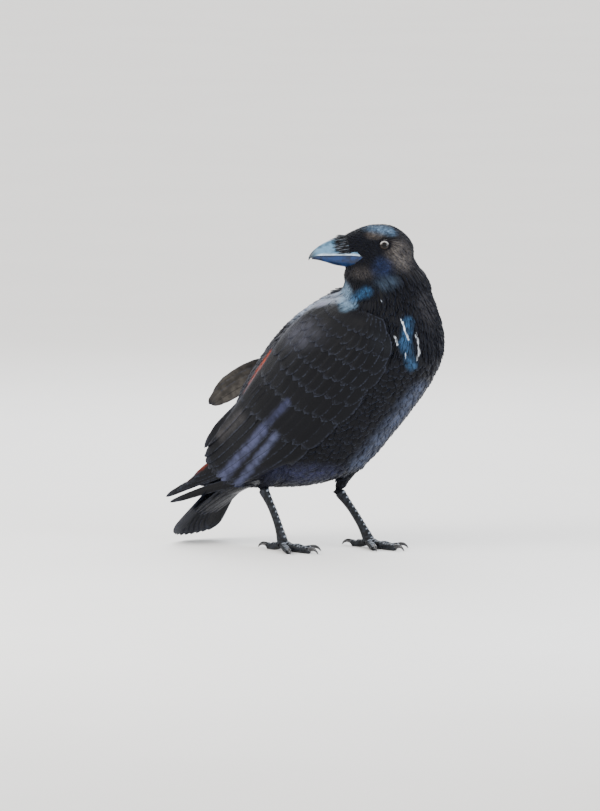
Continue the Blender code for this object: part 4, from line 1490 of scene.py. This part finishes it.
# painted highlight: the lower lip of each scute's front is pale grey
lip = map_range(tree, stored(tree, "ridge"), 0.35, 0.95, 0, 0.60)
set_inputs(tree, shader, {
    "Base Color": mix_colour(tree, lip, colour, (0.30, 0.33, 0.38, 1)),
    "Normal": bump(tree, map_range(tree, plates, 0.0, 0.12), 0.35, 0.0002),
    "Roughness": map_range(tree, cloud, 0.3, 0.7, 0.36, 0.55),
    "Specular IOR Level": 0.14, "Coat Weight": 0.03, "Coat Roughness": 0.25})
claw_material = plain_material("claw_black", (0.004, 0.004, 0.005), 0.26, 300.0, 3.0, 0.15,
                               coat=0.25)


def store_ridge(mesh, rings, number):
    """1 on the lower lip of each scute's front."""
    count, values = len(rings[0]), []
    for k in range(len(rings)):
        step = (k / (len(rings) - 1) * number) % 1.0
        for i in range(count):
            front = smooth_step(0.4, 0.95, math.cos(2 * math.pi * i / count))
            values.append(front * smooth_step(0.45, 0.8, step))
    store_field(mesh, "ridge", values + [0.0, 0.0])


# %% Build both legs
leg_pieces = {}


def add_leg_piece(name, mesh, material, angle, node, slot):
    leg_pieces[name] = (make_piece(name, mesh, material, angle), node, slot)


for label, leg in LEGS.items():
    foot = Vector((*leg["foot"], FOOT_HEIGHT))
    heel = Vector(leg["heel"])
    fine = refined([tuple(heel.lerp(foot, k / 8) + Vector((3, 0, 0)) * math.sin(math.pi * k / 8))
                    for k in range(9)], 20)
    path = [along(fine, k / SHANK_STEPS) for k in range(SHANK_STEPS + 1)]
    radii = [along(TARSUS_RADII, k / SHANK_STEPS)[0]
             * math.sqrt(1 - max(1 - k / 7, 0) ** 2 * 0.92) for k in range(SHANK_STEPS + 1)]
    rings = tube_rings(path, radii, 32, 0.85, scutes(SHANK_SCUTES, 0.75))
    mesh = rings_to_mesh(f"shank_{label}", rings)
    store_ridge(mesh, rings, SHANK_SCUTES)
    add_leg_piece(f"shank_{label}", mesh, scale_material, 50, f"tarsus_{label}", "leg_scales")
    for toe, degrees in leg["toes"].items():
        length, thick, thin, claw_long, claw_thick = TOE_SIZES[toe]
        turn = math.radians(degrees)
        way = Vector((math.cos(turn), math.sin(turn), 0))
        ground = Vector((foot.x, foot.y, 0))
        path, radii, waves = [], [], 5 if toe == "middle" else 4
        number = 9 if toe == "middle" else 7
        for k in range(TOE_STEPS + 1):
            p = k / TOE_STEPS
            swell = 0.5 * math.cos(p * math.pi * waves)
            radius = thick + (thin - thick) * p + 0.8 * swell
            if p > 0.93:
                radius *= 1 - 0.28 * ((p - 0.93) / 0.07) ** 2
            height = 0.86 * radius + (foot.z - 0.86 * thick) * (1 - p) ** 3 * 0.55
            path.append(tuple(ground + way * (4 + (length - 4) * p) + UP * height))
            radii.append(radius * 0.95)
        rings = tube_rings(path, radii, 28, 1.0, scutes(number, 0.55))
        rings = [[(a, b, max(c, 0.0)) for a, b, c in ring] for ring in rings]
        mesh = rings_to_mesh(f"digit_{label}_{toe}", rings)
        store_ridge(mesh, rings, number)
        add_leg_piece(f"digit_{label}_{toe}", mesh, scale_material, 50,
                      f"toe_{label}_{toe}", "leg_scales")
        base = ground + way * (length - 2.5) + UP * thin
        path, radii = [], []
        for k in range(CLAW_STEPS + 1):
            p = k / CLAW_STEPS
            rise = (2.6 * math.sin(math.pi * min(1.1 * p, 1)) - (thin - 0.9) * p**1.7)
            reach = claw_long * math.sin(1.25 * p) / math.sin(1.25)
            path.append(tuple(base + way * reach + UP * (rise + 0.3)))
            radii.append(claw_thick * (1 - p) ** 0.75 + 0.3)
        rings = tube_rings(path, radii, 20, 0.72)
        rings = [[(a, b, max(c, 0.05)) for a, b, c in ring] for ring in rings]
        mesh = rings_to_mesh(f"talon_{label}_{toe}", rings)
        add_leg_piece(f"talon_{label}_{toe}", mesh, claw_material, 60,
                      f"claw_{label}_{toe}", "claw_horn")
print("leg pieces:", len(leg_pieces), "triangles:",
      sum(triangles(piece.data) for piece, _, _ in leg_pieces.values()))

# %% [markdown]
# ## Bristles over the nostrils
#
# Stiff dark bristles sweep forward from the forehead over the root of the bill and hide the
# nostrils. A second small tree plants them on a patch of the bill's own surface and points
# them forward. It reuses the coat's idea: scatter, turn, make real.

# %% The bristle patch and its tree
def bristle_template():
    rings = []
    for k in range(6):
        p = k / 5
        half = 0.5 * (1 - p) ** 0.6 + 0.03
        rings.append([(1000 * p, 1000 * half * math.cos(a), 1000 * (half * math.sin(a)
                       + 0.10 * math.sin(p * 1.6))) for a in (0, 2.1, 4.2)])
    mesh = rings_to_mesh("bristle", rings)
    layer = mesh.uv_layers.new(name="vane")
    for loop in mesh.loops:
        layer.data[loop.index].uv = (mesh.vertices[loop.vertex_index].co.x, 0.5)
    mesh.shade_smooth()
    return bpy.data.objects.new("bristle", mesh)


def bristle_patch():
    """The part of the bill's root that bristles grow on, with their way and outward side."""
    bm = bmesh.new()
    bm.from_mesh(upper_mesh)
    bm.normal_update()
    drop = []
    for face in bm.faces:
        offset = face.calc_center_median() / MM - HEAD
        high = offset.z > -9.0 + max(offset.dot(AHEAD) - 47, 0) * 0.3
        if not (39 < offset.dot(AHEAD) < 56.5 and high and face.normal.dot(AHEAD) > -0.5):
            drop.append(face)
    bmesh.ops.delete(bm, geom=drop, context="FACES")
    mesh = mesh_from(bm, "bristle_patch")
    outs = np.array([tuple(v.normal) for v in mesh.vertices])
    ways = [AHEAD - Vector(o) * (AHEAD.dot(Vector(o)) - 0.02) - UP * 0.12 for o in outs]
    store_field(mesh, "out", outs, vector=True)
    store_field(mesh, "lie", [tuple(w.normalized()) for w in ways], vector=True)
    store_field(mesh, "zone_bristle", np.ones(len(outs)))
    store_field(mesh, "growth", [1.15 - 0.035 * max((v.co / MM - HEAD).dot(AHEAD) - ROOT_AHEAD, 0)
                                 for v in mesh.vertices])
    layer = mesh.uv_layers.new(name="OFBake")
    for loop in mesh.loops:
        offset = mesh.vertices[loop.vertex_index].co / MM - HEAD
        layer.data[loop.index].uv = (0.5 + offset.dot(ASIDE) / 60, (offset.dot(AHEAD) - 40) / 40)
    return mesh


BRISTLE_INPUTS = [
    ("Spacing", "NodeSocketFloat", None), ("Length", "NodeSocketFloat", None),
    ("Width", "NodeSocketFloat", None), ("Swing", "NodeSocketFloat", None),
    ("Seed", "NodeSocketInt", None), ("Bristle", "NodeSocketObject", None),
    ("Material", "NodeSocketMaterial", None),
]


def build_bristle_tree():
    tree, given = new_tree("bristle_tuft", BRISTLE_INPUTS)
    points = scattered(tree, given, 5)
    back = math_node(tree, "MULTIPLY", given["Swing"], -1.0)
    facing = facing_along(tree, "lie", "out", "XZ", {
        "Y": random_value(tree, back, given["Swing"], 9),
        "Z": random_value(tree, back, given["Swing"], 17)})
    long = math_node(tree, "MULTIPLY", named(tree, "growth"), given["Length"])
    long = math_node(tree, "MULTIPLY", long, random_value(tree, 0.7, 1.15, 29))
    size = add_node(tree, "ShaderNodeCombineXYZ",
                    {"X": long, "Y": given["Width"], "Z": given["Width"]}).outputs[0]
    planted = add_node(tree, "GeometryNodeInstanceOnPoints", {
        "Points": points, "Rotation": facing, "Scale": size,
        "Instance": add_node(tree, "GeometryNodeObjectInfo",
                             {"Object": given["Bristle"]}).outputs["Geometry"]}).outputs[0]
    real = add_node(tree, "GeometryNodeRealizeInstances", {"Geometry": planted}).outputs[0]
    return finish_tree(tree, given, real)


bristle_fibre, tree, shader = new_material("bristle_fibre")
shade = stored(tree, "shade")
set_inputs(tree, shader, {
    # painted highlights: the few strands with the highest shade are pale grey streaks
    "Base Color": mix_colour(tree, map_range(tree, shade, 0.88, 0.95), (0.003, 0.003, 0.004, 1),
                             (0.240, 0.260, 0.300, 1)),
    "Roughness": map_range(tree, shade, 0, 1, 0.35, 0.55), "Specular IOR Level": 0.2})
bristle_mesh = grown(build_bristle_tree(), bristle_patch(), "bill_bristles", {
    "Spacing": 0.66 * MM, "Length": 11.5 * MM, "Width": 0.50 * MM, "Swing": 0.09, "Seed": 8,
    "Bristle": bristle_template(), "Material": bristle_fibre})
bristles = make_piece("bill_bristles", bristle_mesh, bristle_fibre)
print("bristles:", triangles(bristle_mesh), "triangles")

# %% [markdown]
# ## Riding on the bird's body
#
# The model is still, so every piece rides on its one body. The skin stands for the fleshy
# solids, the sheafs of vanes for the wings and tail, and the smooth lofts for bill, eyes and
# legs.

# %% Ride and replace the solids
fitted = []


def fit(piece, slot, *nodes):
    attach(piece, "root")
    if nodes:
        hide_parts(*nodes)
    fitted.append(piece)


fit(skin, "plumage", *FLESH, *COVERTS)
for piece in body_pieces[1:]:
    fit(piece, "plumage")
for label, (feathers, blades) in wings.items():
    fit(feathers, "flight_feathers", f"wing_{label}_secondaries")
    fit(blades, "flight_feathers", f"wing_{label}_primaries")
fit(loose_tertials, "flight_feathers", "wing_left_tertials")
fit(tail_feathers, "flight_feathers", "tail")
fit(bill_top, "bill_horn", "bill_upper")
fit(bill_bottom, "bill_horn", "bill_lower")
fit(bristles, "plumage")
for label in EYES:
    fit(eye_pieces[label], "eye", f"eye_{label}")
    fit(lid_pieces[label], "eye")
for piece, node, slot in leg_pieces.values():
    fit(piece, slot, node)
print("pieces:", len(fitted))

# %% [markdown]
# ## Floor, light and camera
#
# A wide pale floor keeps the outline clean. Black plumage shows its shape only
# by what it reflects, so there are three large soft lights: a key from the upper left front, a
# cool one low on the right that draws the breast, and one behind that lifts the back. The camera
# looks from the bird's right, 25 degrees towards its front, from a little above level.

# %% The floor
bm = bmesh.new()
bmesh.ops.create_grid(bm, x_segments=2, y_segments=2, size=40.0)
floor_material = plain_material("pale_floor", (0.88, 0.87, 0.85), 0.85, 3.0, 0.985, 0.02)
floor = make_piece("floor", mesh_from(bm, "floor"), floor_material)
world = bpy.data.worlds.new("studio")
scene.world = world
world.use_nodes = True
world.node_tree.nodes["Background"].inputs["Color"].default_value = (0.96, 0.95, 0.94, 1)
world.node_tree.nodes["Background"].inputs["Strength"].default_value = 1.9

# %% The camera
AZIMUTH, ELEVATION = math.radians(25), math.radians(6)
VIEW_HEIGHT, LENS, SENSOR = 0.989, 400, 36
right = Vector((math.cos(AZIMUTH), math.sin(AZIMUTH), 0))
back = Vector((math.sin(AZIMUTH) * math.cos(ELEVATION), -math.cos(AZIMUTH) * math.cos(ELEVATION),
               math.sin(ELEVATION)))
above = back.cross(right)
target = right * -0.0061 + above * 0.17385 - Vector((0.002, 0, 0))
camera = bpy.data.objects.new("camera", bpy.data.cameras.new("camera"))
camera.data.lens, camera.data.sensor_width = LENS, SENSOR
camera.matrix_world = Matrix.Translation(target + back * VIEW_HEIGHT * LENS / SENSOR) @ Matrix(
    (right, above, back)).transposed().to_4x4()
scene.collection.objects.link(camera)
scene.camera = camera


# %% The lights
def soft_light(name, place, size, power, colour):
    lamp = bpy.data.lights.new(name, "AREA")
    lamp.size, lamp.energy, lamp.color = size, power, colour
    light = bpy.data.objects.new(name, lamp)
    light.location = place
    way = Vector((0, 0, 0.22)) - Vector(place)
    light.rotation_euler = way.to_track_quat("-Z", "Y").to_euler()
    scene.collection.objects.link(light)


soft_light("key", (-0.75, -1.35, 1.35), 1.1, 34, (1.0, 0.98, 0.94))
soft_light("breast_rim", (1.5, -0.35, 0.55), 0.8, 18, (0.72, 0.84, 1.0))
soft_light("back_lift", (-0.8, 1.4, 1.5), 1.2, 26, (0.88, 0.93, 1.0))
print("camera", round((camera.location - target).length, 2), "m away")

# %% Measure the finished bird, and finish
total = sum(triangles(o.data) for o in scene.objects if o.type == "MESH" and not o.hide_render)
print("triangles shown:", total)
